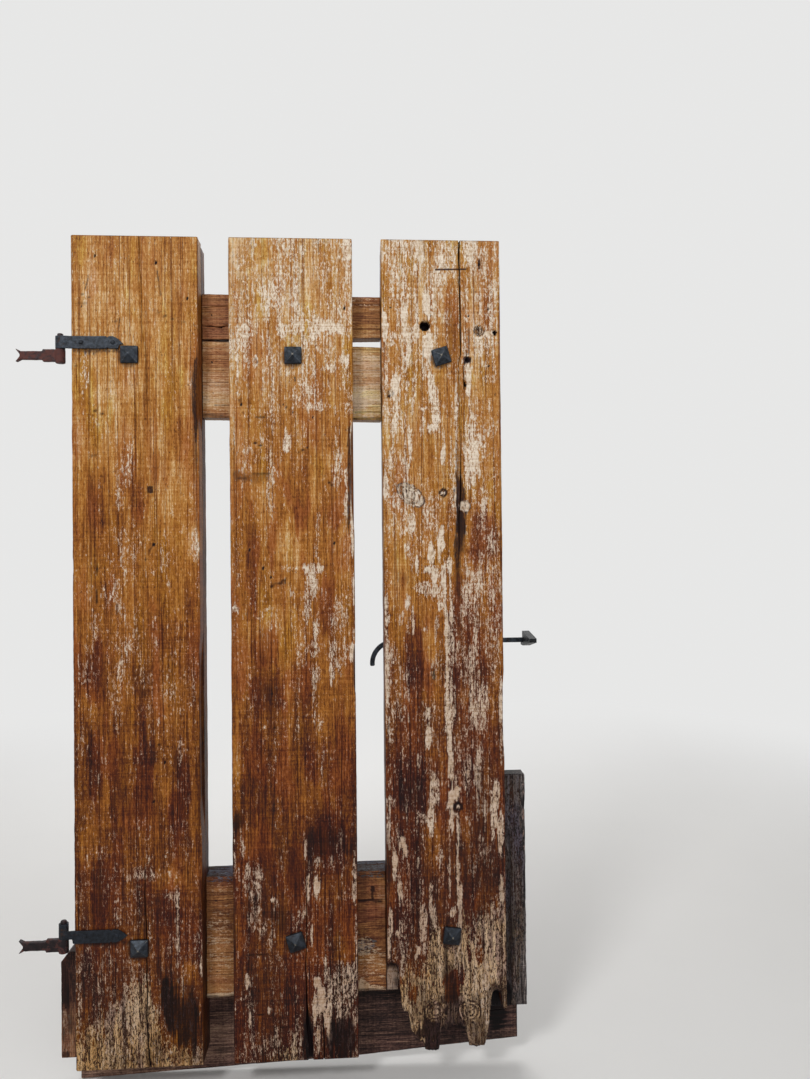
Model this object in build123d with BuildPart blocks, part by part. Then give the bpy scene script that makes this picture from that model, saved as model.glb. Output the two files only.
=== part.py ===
from build123d import *
import math
import os

# Rustic gate leaf: three heavy planks bolted to a tenoned back frame, hung on two wall pintles.
# Millimetres. X runs from the hinge wall to the latch wall, Y away from the front, Z up.
# The origin is the middle of the lower pintle's tang where it enters the hinge wall.

# Place of the leaf
hinge_gap = 67.0            # hinge wall to the planks' left edge
latch_gap = 83.0            # right plank to the latch wall
front_set = 5.0             # planks' front face ahead of the hinge axis

# Planks
plank_height = 2010.0
plank_thick = 45.0
left_width = 303.0
middle_width = 303.0
right_width = 297.0
left_space = 72.0
right_space = 70.0
plank_round = 2.5
heel_wide = 6.0             # worn lower left corner of the left plank
heel_high = 27.0

# Rotted foot of the right plank, in across and up from its own lower left corner
rot_shoulder = 224.0        # top of the lost corner, on the plank's left edge
rot_side = 31.0             # its first torn side
rot_ledge = 102.0           # ledge at the foot of that side
rot_ledge_in = 55.0
rot_heel = 42.0             # second ledge, beside the first tongue
rot_lean = 4.0              # lean of the torn sides
tongue_one_left = 91.0
tongue_one_right = 128.0
tongue_one_up = 6.0
tongue_two_left = 201.0
tongue_two_right = 242.0
tongue_two_up = 11.0
rot_hollow = 64.0           # edge between the tongues
rot_ripple = 5.0            # how far that edge rises and falls
slot_left = 258.0
slot_right = 286.0
slot_high = 144.0
sliver_high = 98.0

# Old holes of the right plank, in across and down from its upper left corner
bore_across = 108.0
bore_down = 214.0
bore_dia = 25.0
plug_across = 243.0
plug_down = 226.0
plug_dia = 24.0
plug_sink = 6.0
peg_hole_across = 283.0
peg_hole_down = 229.0
peg_hole_dia = 10.0
chip_across = 210.0
chip_down = 294.0
chip_wide = 9.0
chip_high = 20.0
chip_deep = 22.0
chip_lean = 10.0            # degrees off the upright

# Back frame
frame_thick = 45.0
hanging_stile_width = 243.0
latch_stile_width = 240.0
stile_top_drop = 10.0
latch_stile_foot = 138.0
hanging_stile_foot = 2.0
lower_rail_up = 137.0
lower_rail_high = 300.0
upper_rail_down = 436.0     # underside at the hinge end, below the planks' top
upper_rail_sink = 6.0       # fall of the underside towards the latch end
lower_board_high = 193.0
lower_board_thin = 8.0      # how much narrower it gets towards the latch end
board_gap_left = 2.0
board_gap_right = 23.0
top_board_down = 126.0      # top edge at the hinge end, below the planks' top
top_board_sink = 4.0
rail_bevel = 12.0           # weathered slope on top of the lower rail
rail_bevel_drop = 6.0

# Mortises, tenons and pegs
tenon_long = 60.0
tenon_thick = 15.0
tenon_fit = 0.4
lower_tenon_high = 90.0
lower_tenon_shoulder = 35.0
board_tenon_high = 110.0
top_tenon_high = 60.0
peg_dia = 14.0
peg_back = 24.0             # peg centre from the joint's shoulder
peg_fit = 0.15

# Boards and strips on the back
back_board_thick = 25.0
back_board_foot = 200.0
kick_left_over = 16.0       # past the planks' left edge
kick_right_over = 42.0
kick_left_drop = 74.0       # below the planks' foot
kick_middle_drop = 50.0
kick_right_drop = 22.0
kick_bend = 0.62            # where along its length the lower edge bends
board_gap = 2.0
left_strip_over = 49.0
left_strip_foot = 7.0
left_strip_top = 265.0
left_strip_cut_wide = 17.0
left_strip_cut_high = 24.0
right_strip_over = 60.0
right_strip_foot = 85.0
right_strip_top = 669.0

# Bolts through the left, middle and right planks, in across from each plank's left edge
upper_bolts_in = [138.0, 156.0, 148.0]
lower_bolts_in = [153.0, 152.0, 161.0]
bolt_dia = 12.0
bolt_fit = 0.3
head_square = 42.0
head_rim = 5.0
head_high = 18.0
upper_bolt_down = 290.0     # below the planks' top
lower_bolt_up = 290.0       # above their foot
upper_turns = [0.0, 0.0, 17.0]
lower_turns = [0.0, 17.0, -8.0]
head_tip = 0.06             # flat at the pyramid's point, as a share of the square
thread_fit = 0.15
washer_square = 40.0
washer_thick = 4.0
nut_across = 19.0
nut_high = 10.0
thread_over = 7.0
bolt_chamfer = 1.2

# Strap hinges and pintles
axis_left = 26.5            # hinge axis left of the planks
pin_dia = 14.0
pin_fit = 0.08
eye_wall = 4.4
strap_thick = 4.5
strap_long = 125.0
strap_point = 26.0          # length of the leaf's point
leaf_bulge = 2.5
strap_high = 31.0
strap_nick = 2.5
nick_in = 87.0
nail_in = 25.0
nail_pitch = 75.0
nail_dia = 5.0
nail_fit = 0.2
nail_head_dia = 11.0
nail_head_high = 1.6
nail_head_taper = 25.0
nail_long = 38.0
plate_over = 3.0            # plate past the plank's edge, towards the eye
neck_start = 9.0            # neck leaves the eye's front this far from the axis
upper_eye_down = 277.0      # pintle's shoulder below the planks' top
upper_eye_high = 31.0
upper_strap_lift = 0.0      # strap's underside above the shoulder
upper_tip_up = 12.0         # leaf's tip above the strap's underside
lower_eye_up = 318.0        # pintle's shoulder above the planks' foot
lower_eye_high = 36.0
lower_strap_lift = -11.0
head_clear = 1.4            # leaf to the bolt head that it tucks beside
head_corner_run = 4.0       # length of the cut-back corner there
eye_lift = 0.3
pin_over = 7.0
pin_chamfer = 2.0
arm_high = 31.0
arm_thick = 13.0
barrel_wall = 5.0
barrel_sink = 3.0
tang_long = 62.0
tang_split = 10.0
tang_neck = 0.7

# Latch
latch_up = 1004.0           # bar's centre line above the planks' foot
bar_high = 12.5
bar_chamfer = 2.5
bar_thick = 8.0
bar_air = 0.5
bar_end_gap = 7.0           # bar's end to the latch wall
pivot_in = 72.0             # pivot from the latch stile's left edge
pivot_dia = 10.0
pivot_fit = 0.06
pivot_boss = 26.0
pivot_head_dia = 20.0
pivot_head_high = 5.0
pivot_chamfer = 1.25
pivot_screw_dia = 8.0
pivot_screw_long = 34.0
lift_degrees = 10.0
handle_reach = 99.0         # handle's tip left of the pivot
handle_drop = 58.0
handle_bend = 45.0          # the curve starts this far left of the pivot
guide_out = 132.0           # guide right of the pivot
guide_rod = 8.0
guide_rest = 0.3
guide_spare = 4.0
guide_root = 22.0
keeper_proud = 18.0
keeper_front = 0.0          # front end of the horn behind the planks' front face
keeper_front_up = 3.0       # its underside above the bar's centre line
keeper_front_high = 10.0
keeper_back_high = 24.0     # its top above the bar's centre line
keeper_air = 2.0
keeper_ledge = 7.0
keeper_rest = 0.3
keeper_lip = 6.0
keeper_lip_high = 6.0
keeper_side_air = 3.0
keeper_hole_dia = 5.6
keeper_hole_pitch = 46.0
keeper_hole_back = 24.0
keeper_hole_up = 6.0

# Wood screws in the back boards and strips
screw_dia = 5.0
screw_fit = 0.15
screw_head_dia = 9.5
screw_head_sink = 3.0
screw_bite = 30.0
screw_edge = 36.0
joint_edge = 72.0           # screws clear of a tenon joint
kick_screw_up = 50.0
hole_spare = 1.0            # free depth under a screw's or nail's end

# Places worked out from the sizes above
front = -front_set
back = front + plank_thick
frame_back = back + frame_thick
boards_back = frame_back + back_board_thick
foot = -(lower_eye_up - arm_high / 2)
top = foot + plank_height
left_x = hinge_gap
middle_x = left_x + left_width + left_space
right_x = middle_x + middle_width + right_space
right_end = right_x + right_width
latch_wall = right_end + latch_gap
axis_x = left_x - axis_left
hanging_right = left_x + left_width
hanging_left = hanging_right - hanging_stile_width
latch_left = right_x
latch_right = latch_left + latch_stile_width
upper_bolt_z = top - upper_bolt_down
lower_bolt_z = foot + lower_bolt_up
upper_bolts = [x + across for x, across in zip((left_x, middle_x, right_x), upper_bolts_in)]
lower_bolts = [x + across for x, across in zip((left_x, middle_x, right_x), lower_bolts_in)]
eye_r = pin_dia / 2 + pin_fit + eye_wall
upper_shoulder = top - upper_eye_down
lower_shoulder = foot + lower_eye_up
upper_strap_low = upper_shoulder + upper_strap_lift
lower_strap_low = lower_shoulder + lower_strap_lift
strap_nail_xs = [left_x + nail_in, left_x + nail_in + nail_pitch]
pivot_x = latch_left + pivot_in
pivot_z = foot + latch_up
bar_front = frame_back + bar_air
bar_back = bar_front + bar_thick
bar_right = latch_wall - bar_end_gap
guide_x = pivot_x + guide_out
lower_rail_foot = foot + lower_rail_up
lower_rail_top = lower_rail_foot + lower_rail_high
mid_y = back + frame_thick / 2
tenon_front = mid_y - tenon_thick / 2

os.makedirs("parts", exist_ok=True)


def front_plane(y):
    """Sketch plane that looks at the front: its x is X and its y is Z, and it extrudes away from the front."""
    return Plane(origin=(0, y, 0), x_dir=(1, 0, 0), z_dir=(0, -1, 0))


def write(piece, name):
    """Labels a finished piece and writes its file."""
    piece.part.label = name
    export_step(piece.part, "parts/" + name + ".step")


# Edges of the upper rail's two boards, at the hinge end and at the latch end
board_low_left = top - upper_rail_down
board_low_right = board_low_left - upper_rail_sink
board_high_left = board_low_left + lower_board_high
board_high_right = board_high_left - upper_rail_sink - lower_board_thin
top_low_left = board_high_left + board_gap_left
top_low_right = board_high_right + board_gap_right
top_high_left = top - top_board_down
top_high_right = top_high_left - top_board_sink


def tenon_zs(low, high, tall):
    """Underside of a tenon of that height in the middle of a board end."""
    return (low + high) / 2 - tall / 2


# Tenons of each rail: left end underside, right end underside and height
lower_tenon_low = lower_rail_foot + lower_tenon_shoulder
lower_tenon_top = lower_rail_top - lower_tenon_shoulder - lower_tenon_high
tenons = [
    (lower_tenon_low, lower_tenon_low, lower_tenon_high),
    (lower_tenon_top, lower_tenon_top, lower_tenon_high),
    (
        tenon_zs(board_low_left, board_high_left, board_tenon_high),
        tenon_zs(board_low_right, board_high_right, board_tenon_high),
        board_tenon_high,
    ),
    (
        tenon_zs(top_low_left, top_high_left, top_tenon_high),
        tenon_zs(top_low_right, top_high_right, top_tenon_high),
        top_tenon_high,
    ),
]
left_pegs = [(hanging_right - peg_back, low + tall / 2) for low, other, tall in tenons]
right_pegs = [(latch_left + peg_back, other + tall / 2) for low, other, tall in tenons]

# Screw places, in X and Z
kick_screws = [
    (hanging_left + screw_edge, foot + kick_screw_up),
    (hanging_right - screw_edge, foot + kick_screw_up),
    (middle_x + screw_edge, lower_rail_foot + screw_edge),
    (middle_x + middle_width - screw_edge, lower_rail_foot + screw_edge),
    (latch_left + tenon_long + screw_edge, lower_rail_foot + screw_edge),
    (latch_right - screw_edge, lower_rail_foot + screw_edge),
]
upper_board_screws = [
    (hanging_left + screw_edge, lower_rail_top - screw_edge),
    (hanging_right - joint_edge, foot + back_board_foot + screw_edge),
    (middle_x + screw_edge, lower_rail_top - screw_edge),
    (middle_x + middle_width - screw_edge, foot + back_board_foot + screw_edge),
    (latch_left + joint_edge, lower_rail_top - screw_edge),
    (latch_right - screw_edge, foot + back_board_foot + screw_edge),
]
left_strip_screws = [
    (left_x + (hanging_left - left_x) / 2, foot + left_strip_foot + screw_edge),
    (left_x + (hanging_left - left_x) / 2, foot + left_strip_top - screw_edge),
]
right_strip_screws = [
    ((latch_right + right_end) / 2, foot + slot_high + screw_edge),
    ((latch_right + right_end) / 2, foot + (slot_high + right_strip_top) / 2),
    ((latch_right + right_end) / 2, foot + right_strip_top - screw_edge),
]


def drill(places, dia, y_from, y_to):
    """Cuts round holes along Y at the given places in the piece being built."""
    with BuildSketch(front_plane(y_from)) as holes:
        with Locations(*places):
            Circle(dia / 2)
    extrude(holes.sketch, amount=-(y_to - y_from), mode=Mode.SUBTRACT)


# Left plank
left_bolts = [(upper_bolts[0], upper_bolt_z), (lower_bolts[0], lower_bolt_z)]
upper_nail_z = upper_strap_low + strap_high / 2
lower_nail_z = lower_strap_low + strap_high / 2
strap_nails_at = [(x, z) for x in strap_nail_xs for z in (upper_nail_z, lower_nail_z)]
with BuildPart() as left_plank:
    with BuildSketch(front_plane(front)):
        with BuildLine():
            Polyline(
                (left_x, foot + heel_high),
                (left_x + heel_wide / 3, foot + heel_high / 3),
                (left_x + heel_wide, foot),
                (left_x + left_width, foot),
                (left_x + left_width, top),
                (left_x, top),
                close=True,
            )
        make_face()
    extrude(amount=-plank_thick)
    fillet(left_plank.edges().filter_by(Axis.Z).group_by(Axis.Y)[0], plank_round)
    drill(left_bolts, bolt_dia + 2 * bolt_fit, front, back)
    drill(strap_nails_at, nail_dia + 2 * nail_fit, front, front + nail_long)
    drill(left_strip_screws, screw_dia + 2 * screw_fit, back - screw_bite, back)
write(left_plank, "left_plank")

# Middle plank
middle_bolts = [(upper_bolts[1], upper_bolt_z), (lower_bolts[1], lower_bolt_z)]
with BuildPart() as middle_plank:
    with BuildSketch(front_plane(front)):
        with Locations((middle_x + middle_width / 2, foot + plank_height / 2)):
            Rectangle(middle_width, plank_height)
    extrude(amount=-plank_thick)
    fillet(middle_plank.edges().filter_by(Axis.Z).group_by(Axis.Y)[0], plank_round)
    drill(middle_bolts, bolt_dia + 2 * bolt_fit, front, back)
write(middle_plank, "middle_plank")

# Right plank, its foot rotted into two tongues, a hollow between them and a slot
right_bolts = [(upper_bolts[2], upper_bolt_z), (lower_bolts[2], lower_bolt_z)]
hollow_mid = (tongue_one_right + tongue_two_left) / 2
slot_crown = slot_high - 4 * rot_lean
rotted_foot = [
    (tongue_two_right, tongue_two_up),
    (tongue_two_left, tongue_two_up),
    (tongue_two_left - rot_lean, rot_hollow),
    (hollow_mid + 2 * rot_lean, rot_hollow - rot_ripple),
    (hollow_mid, rot_hollow + rot_ripple),
    (tongue_one_right + rot_lean, rot_hollow),
    (tongue_one_right, tongue_one_up),
    (tongue_one_left, tongue_one_up),
    (tongue_one_left, rot_heel - rot_lean),
    (rot_ledge_in + rot_lean, rot_heel),
    (rot_ledge_in, rot_ledge),
    (rot_side + rot_lean, rot_ledge + rot_lean),
    (rot_side - rot_lean, rot_shoulder - 2 * rot_lean),
    (0, rot_shoulder),
]
slot_edge = [
    (right_width, sliver_high),
    (slot_right + rot_lean / 2, sliver_high + rot_lean),
    (slot_right, slot_high - rot_lean / 2),
    (slot_left, slot_high),
    (slot_left - rot_lean / 2, slot_crown),
]
with BuildPart() as right_plank:
    with BuildSketch(front_plane(front)):
        with BuildLine(Location((right_x, foot, 0))):
            Polyline(*rotted_foot, (0, plank_height), (right_width, plank_height), *slot_edge)
            ThreePointArc(
                slot_edge[-1],
                ((slot_left + tongue_two_right) / 2 + rot_lean, slot_high / 2),
                rotted_foot[0],
            )
        make_face()
    extrude(amount=-plank_thick)
    long_edges = right_plank.edges().filter_by(Axis.Z).group_by(Axis.Y)[0].sort_by(Edge.length)
    fillet(long_edges[-2:], plank_round)
    drill(right_bolts, bolt_dia + 2 * bolt_fit, front, back)
    drill([(right_x + bore_across, top - bore_down)], bore_dia, front, back)
    drill([(right_x + plug_across, top - plug_down)], plug_dia, front, front + plug_sink)
    drill([(right_x + peg_hole_across, top - peg_hole_down)], peg_hole_dia, front, back)
    with BuildSketch(front_plane(front)):
        with Locations((right_x + chip_across, top - chip_down)):
            SlotOverall(chip_high, chip_wide, rotation=90 + chip_lean)
    extrude(amount=-chip_deep, mode=Mode.SUBTRACT)
    drill(right_strip_screws, screw_dia + 2 * screw_fit, back - screw_bite, back)
write(right_plank, "right_plank")


def mortises(edge_x, toward, lows):
    """Cuts the mortises of one stile, from its joint edge inwards."""
    deep = tenon_long + tenon_fit
    with BuildSketch(front_plane(tenon_front - tenon_fit)) as slots:
        for low, tall in lows:
            with Locations((edge_x + toward * deep / 2, low + tall / 2)):
                Rectangle(deep, tall + 2 * tenon_fit)
    extrude(slots.sketch, amount=-(tenon_thick + 2 * tenon_fit), mode=Mode.SUBTRACT)


# Hanging stile, behind the left plank
with BuildPart() as hanging_stile:
    stile_foot = foot + hanging_stile_foot
    stile_top = top - stile_top_drop
    with BuildSketch(front_plane(back)):
        with Locations(((hanging_left + hanging_right) / 2, (stile_foot + stile_top) / 2)):
            Rectangle(hanging_stile_width, stile_top - stile_foot)
    extrude(amount=-frame_thick)
    mortises(hanging_right, -1, [(low, tall) for low, other, tall in tenons])
    drill(left_pegs, peg_dia + 2 * peg_fit, back, frame_back)
    drill(left_bolts, bolt_dia + 2 * bolt_fit, back, frame_back)
    hanging_screws = [p for p in kick_screws + upper_board_screws if p[0] < hanging_right]
    drill(hanging_screws, screw_dia + 2 * screw_fit, frame_back - screw_bite, frame_back)
write(hanging_stile, "hanging_stile")

# Latch stile, behind the right plank
with BuildPart() as latch_stile:
    stile_foot = foot + latch_stile_foot
    stile_top = top - stile_top_drop
    with BuildSketch(front_plane(back)):
        with Locations(((latch_left + latch_right) / 2, (stile_foot + stile_top) / 2)):
            Rectangle(latch_stile_width, stile_top - stile_foot)
    extrude(amount=-frame_thick)
    mortises(latch_left, 1, [(other, tall) for low, other, tall in tenons])
    drill(right_pegs, peg_dia + 2 * peg_fit, back, frame_back)
    drill(right_bolts, bolt_dia + 2 * bolt_fit, back, frame_back)
    latch_screws = [p for p in kick_screws + upper_board_screws if p[0] > latch_left]
    drill(latch_screws, screw_dia + 2 * screw_fit, frame_back - screw_bite, frame_back)
    guide_low_z = pivot_z - bar_high / 2 - guide_rest - guide_rod / 2
    guide_rise = guide_out * math.tan(math.radians(lift_degrees)) + bar_high / 2 + guide_spare
    guide_high_z = pivot_z + guide_rise + guide_rod / 2
    with BuildSketch(front_plane(frame_back - guide_root)):
        with Locations((guide_x, guide_low_z), (guide_x, guide_high_z)):
            Rectangle(guide_rod + 2 * screw_fit, guide_rod + 2 * screw_fit)
    extrude(amount=-guide_root, mode=Mode.SUBTRACT)
    drill([(pivot_x, pivot_z)], pivot_screw_dia + 2 * screw_fit, frame_back - pivot_screw_long, frame_back)
write(latch_stile, "latch_stile")


def tenons_of(rows):
    """Adds the tenons of one rail at both ends."""
    for low, other, tall in rows:
        with BuildSketch(front_plane(tenon_front)) as ends:
            with Locations((hanging_right - tenon_long / 2, low + tall / 2)):
                Rectangle(tenon_long, tall)
            with Locations((latch_left + tenon_long / 2, other + tall / 2)):
                Rectangle(tenon_long, tall)
        extrude(ends.sketch, amount=-tenon_thick)


# Upper rail, one wide board that split into two along its length
with BuildPart() as upper_rail_top_board:
    with BuildSketch(front_plane(back)):
        with BuildLine():
            Polyline(
                (hanging_right, top_low_left),
                (latch_left, top_low_right),
                (latch_left, top_high_right),
                (hanging_right, top_high_left),
                close=True,
            )
        make_face()
    extrude(amount=-frame_thick)
    tenons_of(tenons[3:4])
    drill([left_pegs[3], right_pegs[3]], peg_dia + 2 * peg_fit, back, frame_back)
write(upper_rail_top_board, "upper_rail_top_board")

with BuildPart() as upper_rail_lower_board:
    with BuildSketch(front_plane(back)):
        with BuildLine():
            Polyline(
                (hanging_right, board_low_left),
                (latch_left, board_low_right),
                (latch_left, board_high_right),
                (hanging_right, board_high_left),
                close=True,
            )
        make_face()
    extrude(amount=-frame_thick)
    tenons_of(tenons[2:3])
    drill([left_pegs[2], right_pegs[2]], peg_dia + 2 * peg_fit, back, frame_back)
    drill(middle_bolts[:1], bolt_dia + 2 * bolt_fit, back, frame_back)
write(upper_rail_lower_board, "upper_rail_lower_board")

# Lower rail, its top weathered to a slope
with BuildPart() as lower_rail:
    with BuildSketch(Plane.YZ.offset(hanging_right)):
        with BuildLine():
            Polyline(
                (back, lower_rail_foot),
                (frame_back, lower_rail_foot),
                (frame_back, lower_rail_top),
                (back + rail_bevel, lower_rail_top),
                (back, lower_rail_top - rail_bevel_drop),
                close=True,
            )
        make_face()
    extrude(amount=latch_left - hanging_right)
    tenons_of(tenons[0:2])
    drill(left_pegs[:2] + right_pegs[:2], peg_dia + 2 * peg_fit, back, frame_back)
    drill(middle_bolts[1:], bolt_dia + 2 * bolt_fit, back, frame_back)
    rail_screws = [p for p in kick_screws + upper_board_screws if hanging_right < p[0] < latch_left]
    drill(rail_screws, screw_dia + 2 * screw_fit, frame_back - screw_bite, frame_back)
write(lower_rail, "lower_rail")

# Pegs through the stiles and tenons
with BuildPart() as rail_pegs:
    with BuildSketch(front_plane(back)):
        with Locations(*(left_pegs + right_pegs)):
            Circle(peg_dia / 2)
    extrude(amount=-frame_thick)
write(rail_pegs, "rail_pegs")


def sink_screws(places, y_face):
    """Cuts clearance holes and head recesses for wood screws driven in from the back."""
    drill(places, screw_dia + 2 * screw_fit, back, y_face)
    drill(places, screw_head_dia + 2 * screw_fit, y_face - screw_head_sink, y_face)


# Board on the back of the lower rail
with BuildPart() as lower_back_board:
    with BuildSketch(front_plane(frame_back)):
        with Locations(((hanging_left + latch_right) / 2, (foot + back_board_foot + lower_rail_top) / 2)):
            Rectangle(latch_right - hanging_left, lower_rail_top - foot - back_board_foot)
    extrude(amount=-back_board_thick)
    drill([(x, lower_bolt_z) for x in lower_bolts], bolt_dia + 2 * bolt_fit, frame_back, boards_back)
    sink_screws(upper_board_screws, boards_back)
write(lower_back_board, "lower_back_board")

# Kick board, its lower edge worn to a slope that bends
kick_left = left_x - kick_left_over
kick_right = right_end + kick_right_over
kick_middle = kick_left + (kick_right - kick_left) * kick_bend
with BuildPart() as kick_board:
    with BuildSketch(front_plane(frame_back)):
        with BuildLine():
            Polyline(
                (kick_left, foot + back_board_foot - board_gap),
                (kick_left, foot - kick_left_drop),
                (kick_middle, foot - kick_middle_drop),
                (kick_right, foot - kick_right_drop),
                (kick_right, foot + back_board_foot - board_gap),
                close=True,
            )
        make_face()
    extrude(amount=-back_board_thick)
    sink_screws(kick_screws, boards_back)
write(kick_board, "kick_board")

# Cover strips behind the outer edges of the leaf
with BuildPart() as left_cover_strip:
    strip_left = left_x - left_strip_over
    with BuildSketch(front_plane(back)):
        with BuildLine():
            Polyline(
                (strip_left, foot + left_strip_foot),
                (hanging_left, foot + left_strip_foot),
                (hanging_left, foot + left_strip_top),
                (strip_left + left_strip_cut_wide, foot + left_strip_top),
                (strip_left, foot + left_strip_top - left_strip_cut_high),
                close=True,
            )
        make_face()
    extrude(amount=-frame_thick)
    sink_screws(left_strip_screws, frame_back)
write(left_cover_strip, "left_cover_strip")

with BuildPart() as right_cover_strip:
    strip_right = right_end + right_strip_over
    strip_foot = foot + right_strip_foot
    strip_top = foot + right_strip_top
    with BuildSketch(front_plane(back)):
        with Locations(((latch_right + strip_right) / 2, (strip_foot + strip_top) / 2)):
            Rectangle(strip_right - latch_right, strip_top - strip_foot)
    extrude(amount=-frame_thick)
    fillet(right_cover_strip.edges().filter_by(Axis.Z).group_by(Axis.X)[-1], plank_round)
    sink_screws(right_strip_screws, frame_back)
write(right_cover_strip, "right_cover_strip")


def screws_at(places, y_face, long):
    """Adds wood screws with flush heads, driven in from a back face."""
    with BuildSketch(front_plane(y_face - long)) as shanks:
        with Locations(*places):
            Circle(screw_dia / 2)
    extrude(shanks.sketch, amount=-long)
    with BuildSketch(front_plane(y_face - screw_head_sink)) as heads:
        with Locations(*places):
            Circle(screw_head_dia / 2)
    extrude(heads.sketch, amount=-screw_head_sink)


with BuildPart() as back_board_screws:
    screws_at(kick_screws + upper_board_screws, boards_back, back_board_thick + screw_bite - hole_spare)
write(back_board_screws, "back_board_screws")

with BuildPart() as cover_strip_screws:
    screws_at(left_strip_screws + right_strip_screws, frame_back, frame_thick + screw_bite - hole_spare)
write(cover_strip_screws, "cover_strip_screws")


def forged_bolt(x, z, y_end, turn):
    """A bolt with a square pyramid head, its shank along Y from the planks' front face."""
    with BuildPart() as bolt:
        with BuildSketch(front_plane(front)):
            with Locations(Location((x, z, 0), (0, 0, turn))):
                Rectangle(head_square, head_square)
        extrude(amount=head_rim)
        with BuildSketch(front_plane(front - head_rim)):
            with Locations(Location((x, z, 0), (0, 0, turn))):
                Rectangle(head_square, head_square)
        with BuildSketch(front_plane(front - head_high)):
            with Locations(Location((x, z, 0), (0, 0, turn))):
                Rectangle(head_square * head_tip, head_square * head_tip)
        loft()
        with BuildSketch(front_plane(front)):
            with Locations((x, z)):
                Circle(bolt_dia / 2)
        extrude(amount=-(y_end - front))
        chamfer(bolt.faces().sort_by(Axis.Y)[-1].edges(), bolt_chamfer)
    return bolt


# Six bolts: the upper row stops at the frame, the lower row goes on through the back board
upper_nut_back = frame_back + washer_thick + nut_high
lower_nut_back = boards_back + washer_thick + nut_high
bolt_rows = [
    ("upper", upper_bolts, upper_bolt_z, upper_nut_back, upper_turns),
    ("lower", lower_bolts, lower_bolt_z, lower_nut_back, lower_turns),
]
for row, xs, z, nut_back, turns in bolt_rows:
    for side, x, turn in zip(["left", "middle", "right"], xs, turns):
        write(forged_bolt(x, z, nut_back + thread_over, turn), row + "_" + side + "_bolt")

# Square washers and hexagon nuts behind the leaf
with BuildPart() as bolt_washers:
    for places, y in ((upper_bolts, frame_back), (lower_bolts, boards_back)):
        z = upper_bolt_z if y == frame_back else lower_bolt_z
        with BuildSketch(front_plane(y)):
            with Locations(*[(x, z) for x in places]):
                Rectangle(washer_square, washer_square)
                Circle(bolt_dia / 2 + bolt_fit, mode=Mode.SUBTRACT)
        extrude(amount=-washer_thick)
write(bolt_washers, "bolt_washers")

with BuildPart() as bolt_nuts:
    for places, y in ((upper_bolts, frame_back), (lower_bolts, boards_back)):
        z = upper_bolt_z if y == frame_back else lower_bolt_z
        with BuildSketch(front_plane(y + washer_thick)):
            with Locations(*[(x, z) for x in places]):
                RegularPolygon(nut_across / 2, 6, major_radius=False)
                Circle(bolt_dia / 2 + thread_fit, mode=Mode.SUBTRACT)
        extrude(amount=-nut_high)
write(bolt_nuts, "bolt_nuts")


def strap_hinge(strap_low, shoulder, eye_high, underside, tip_up):
    """One forged strap: a plate that ends in a leaf, a cranked neck and an eye round the pintle's pin.

    The underside lists where the leaf leaves the plate's lower edge, and any corner before its tip.
    """
    eye_low = shoulder + eye_lift
    strap_top = strap_low + strap_high
    neck_low = max(strap_low, eye_low)
    neck_top = min(strap_top, eye_low + eye_high)
    tip = (left_x + strap_long, strap_low + tip_up)
    leaf_x = tip[0] - strap_point
    plate_start = left_x - plate_over
    with BuildPart() as strap:
        with BuildSketch(front_plane(front)):
            with BuildLine():
                Polyline((leaf_x, strap_top), (plate_start, strap_top), (plate_start, strap_low), *underside)
                SagittaArc(underside[-1], tip, -leaf_bulge * math.dist(underside[-1], tip) / strap_point)
                SagittaArc(tip, (leaf_x, strap_top), -leaf_bulge)
            make_face()
            with Locations((left_x + nick_in, strap_low), (left_x + nick_in, strap_low + strap_high)):
                Circle(strap_nick, mode=Mode.SUBTRACT)
        extrude(amount=strap_thick)
        with BuildSketch(Plane.XY.offset(neck_low)):
            with BuildLine():
                Polyline(
                    (axis_x, -eye_r),
                    (axis_x + neck_start, -eye_r),
                    (plate_start + strap_thick, front - strap_thick),
                    (plate_start + strap_thick, front),
                    (plate_start, front),
                    (axis_x + eye_r, 0),
                    (axis_x, 0),
                    close=True,
                )
            make_face()
        extrude(amount=neck_top - neck_low)
        with BuildSketch(Plane.XY.offset(eye_low)):
            with Locations((axis_x, 0)):
                Circle(eye_r)
        extrude(amount=eye_high)
        with BuildSketch(Plane.XY.offset(eye_low)):
            with Locations((axis_x, 0)):
                Circle(pin_dia / 2 + pin_fit)
        extrude(amount=eye_high, mode=Mode.SUBTRACT)
        nails = [(x, strap_low + strap_high / 2) for x in strap_nail_xs]
        drill(nails, nail_dia + 2 * nail_fit, front - strap_thick, front)
    return strap


# The upper leaf tucks round the corner of the bolt head beside it
head_corner = (
    upper_bolts[0] - head_square / 2 - head_clear,
    upper_bolt_z + head_square / 2 + head_clear,
)
leaf_root = left_x + strap_long - strap_point
upper_underside = [(head_corner[0] - head_corner_run, upper_strap_low), head_corner]
lower_underside = [(leaf_root, lower_strap_low)]
upper_strap = strap_hinge(upper_strap_low, upper_shoulder, upper_eye_high, upper_underside, upper_tip_up)
lower_strap = strap_hinge(lower_strap_low, lower_shoulder, lower_eye_high, lower_underside, strap_high / 2)
write(upper_strap, "upper_hinge_strap")
write(lower_strap, "lower_hinge_strap")

# Nails through the straps
with BuildPart() as strap_nails:
    with BuildSketch(front_plane(front - strap_thick)):
        with Locations(*strap_nails_at):
            Circle(nail_dia / 2)
    extrude(amount=-(nail_long + strap_thick - hole_spare))
    with BuildSketch(front_plane(front - strap_thick)):
        with Locations(*strap_nails_at):
            RegularPolygon(nail_head_dia / 2, 8)
    extrude(amount=nail_head_high, taper=nail_head_taper)
write(strap_nails, "strap_nails")


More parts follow.
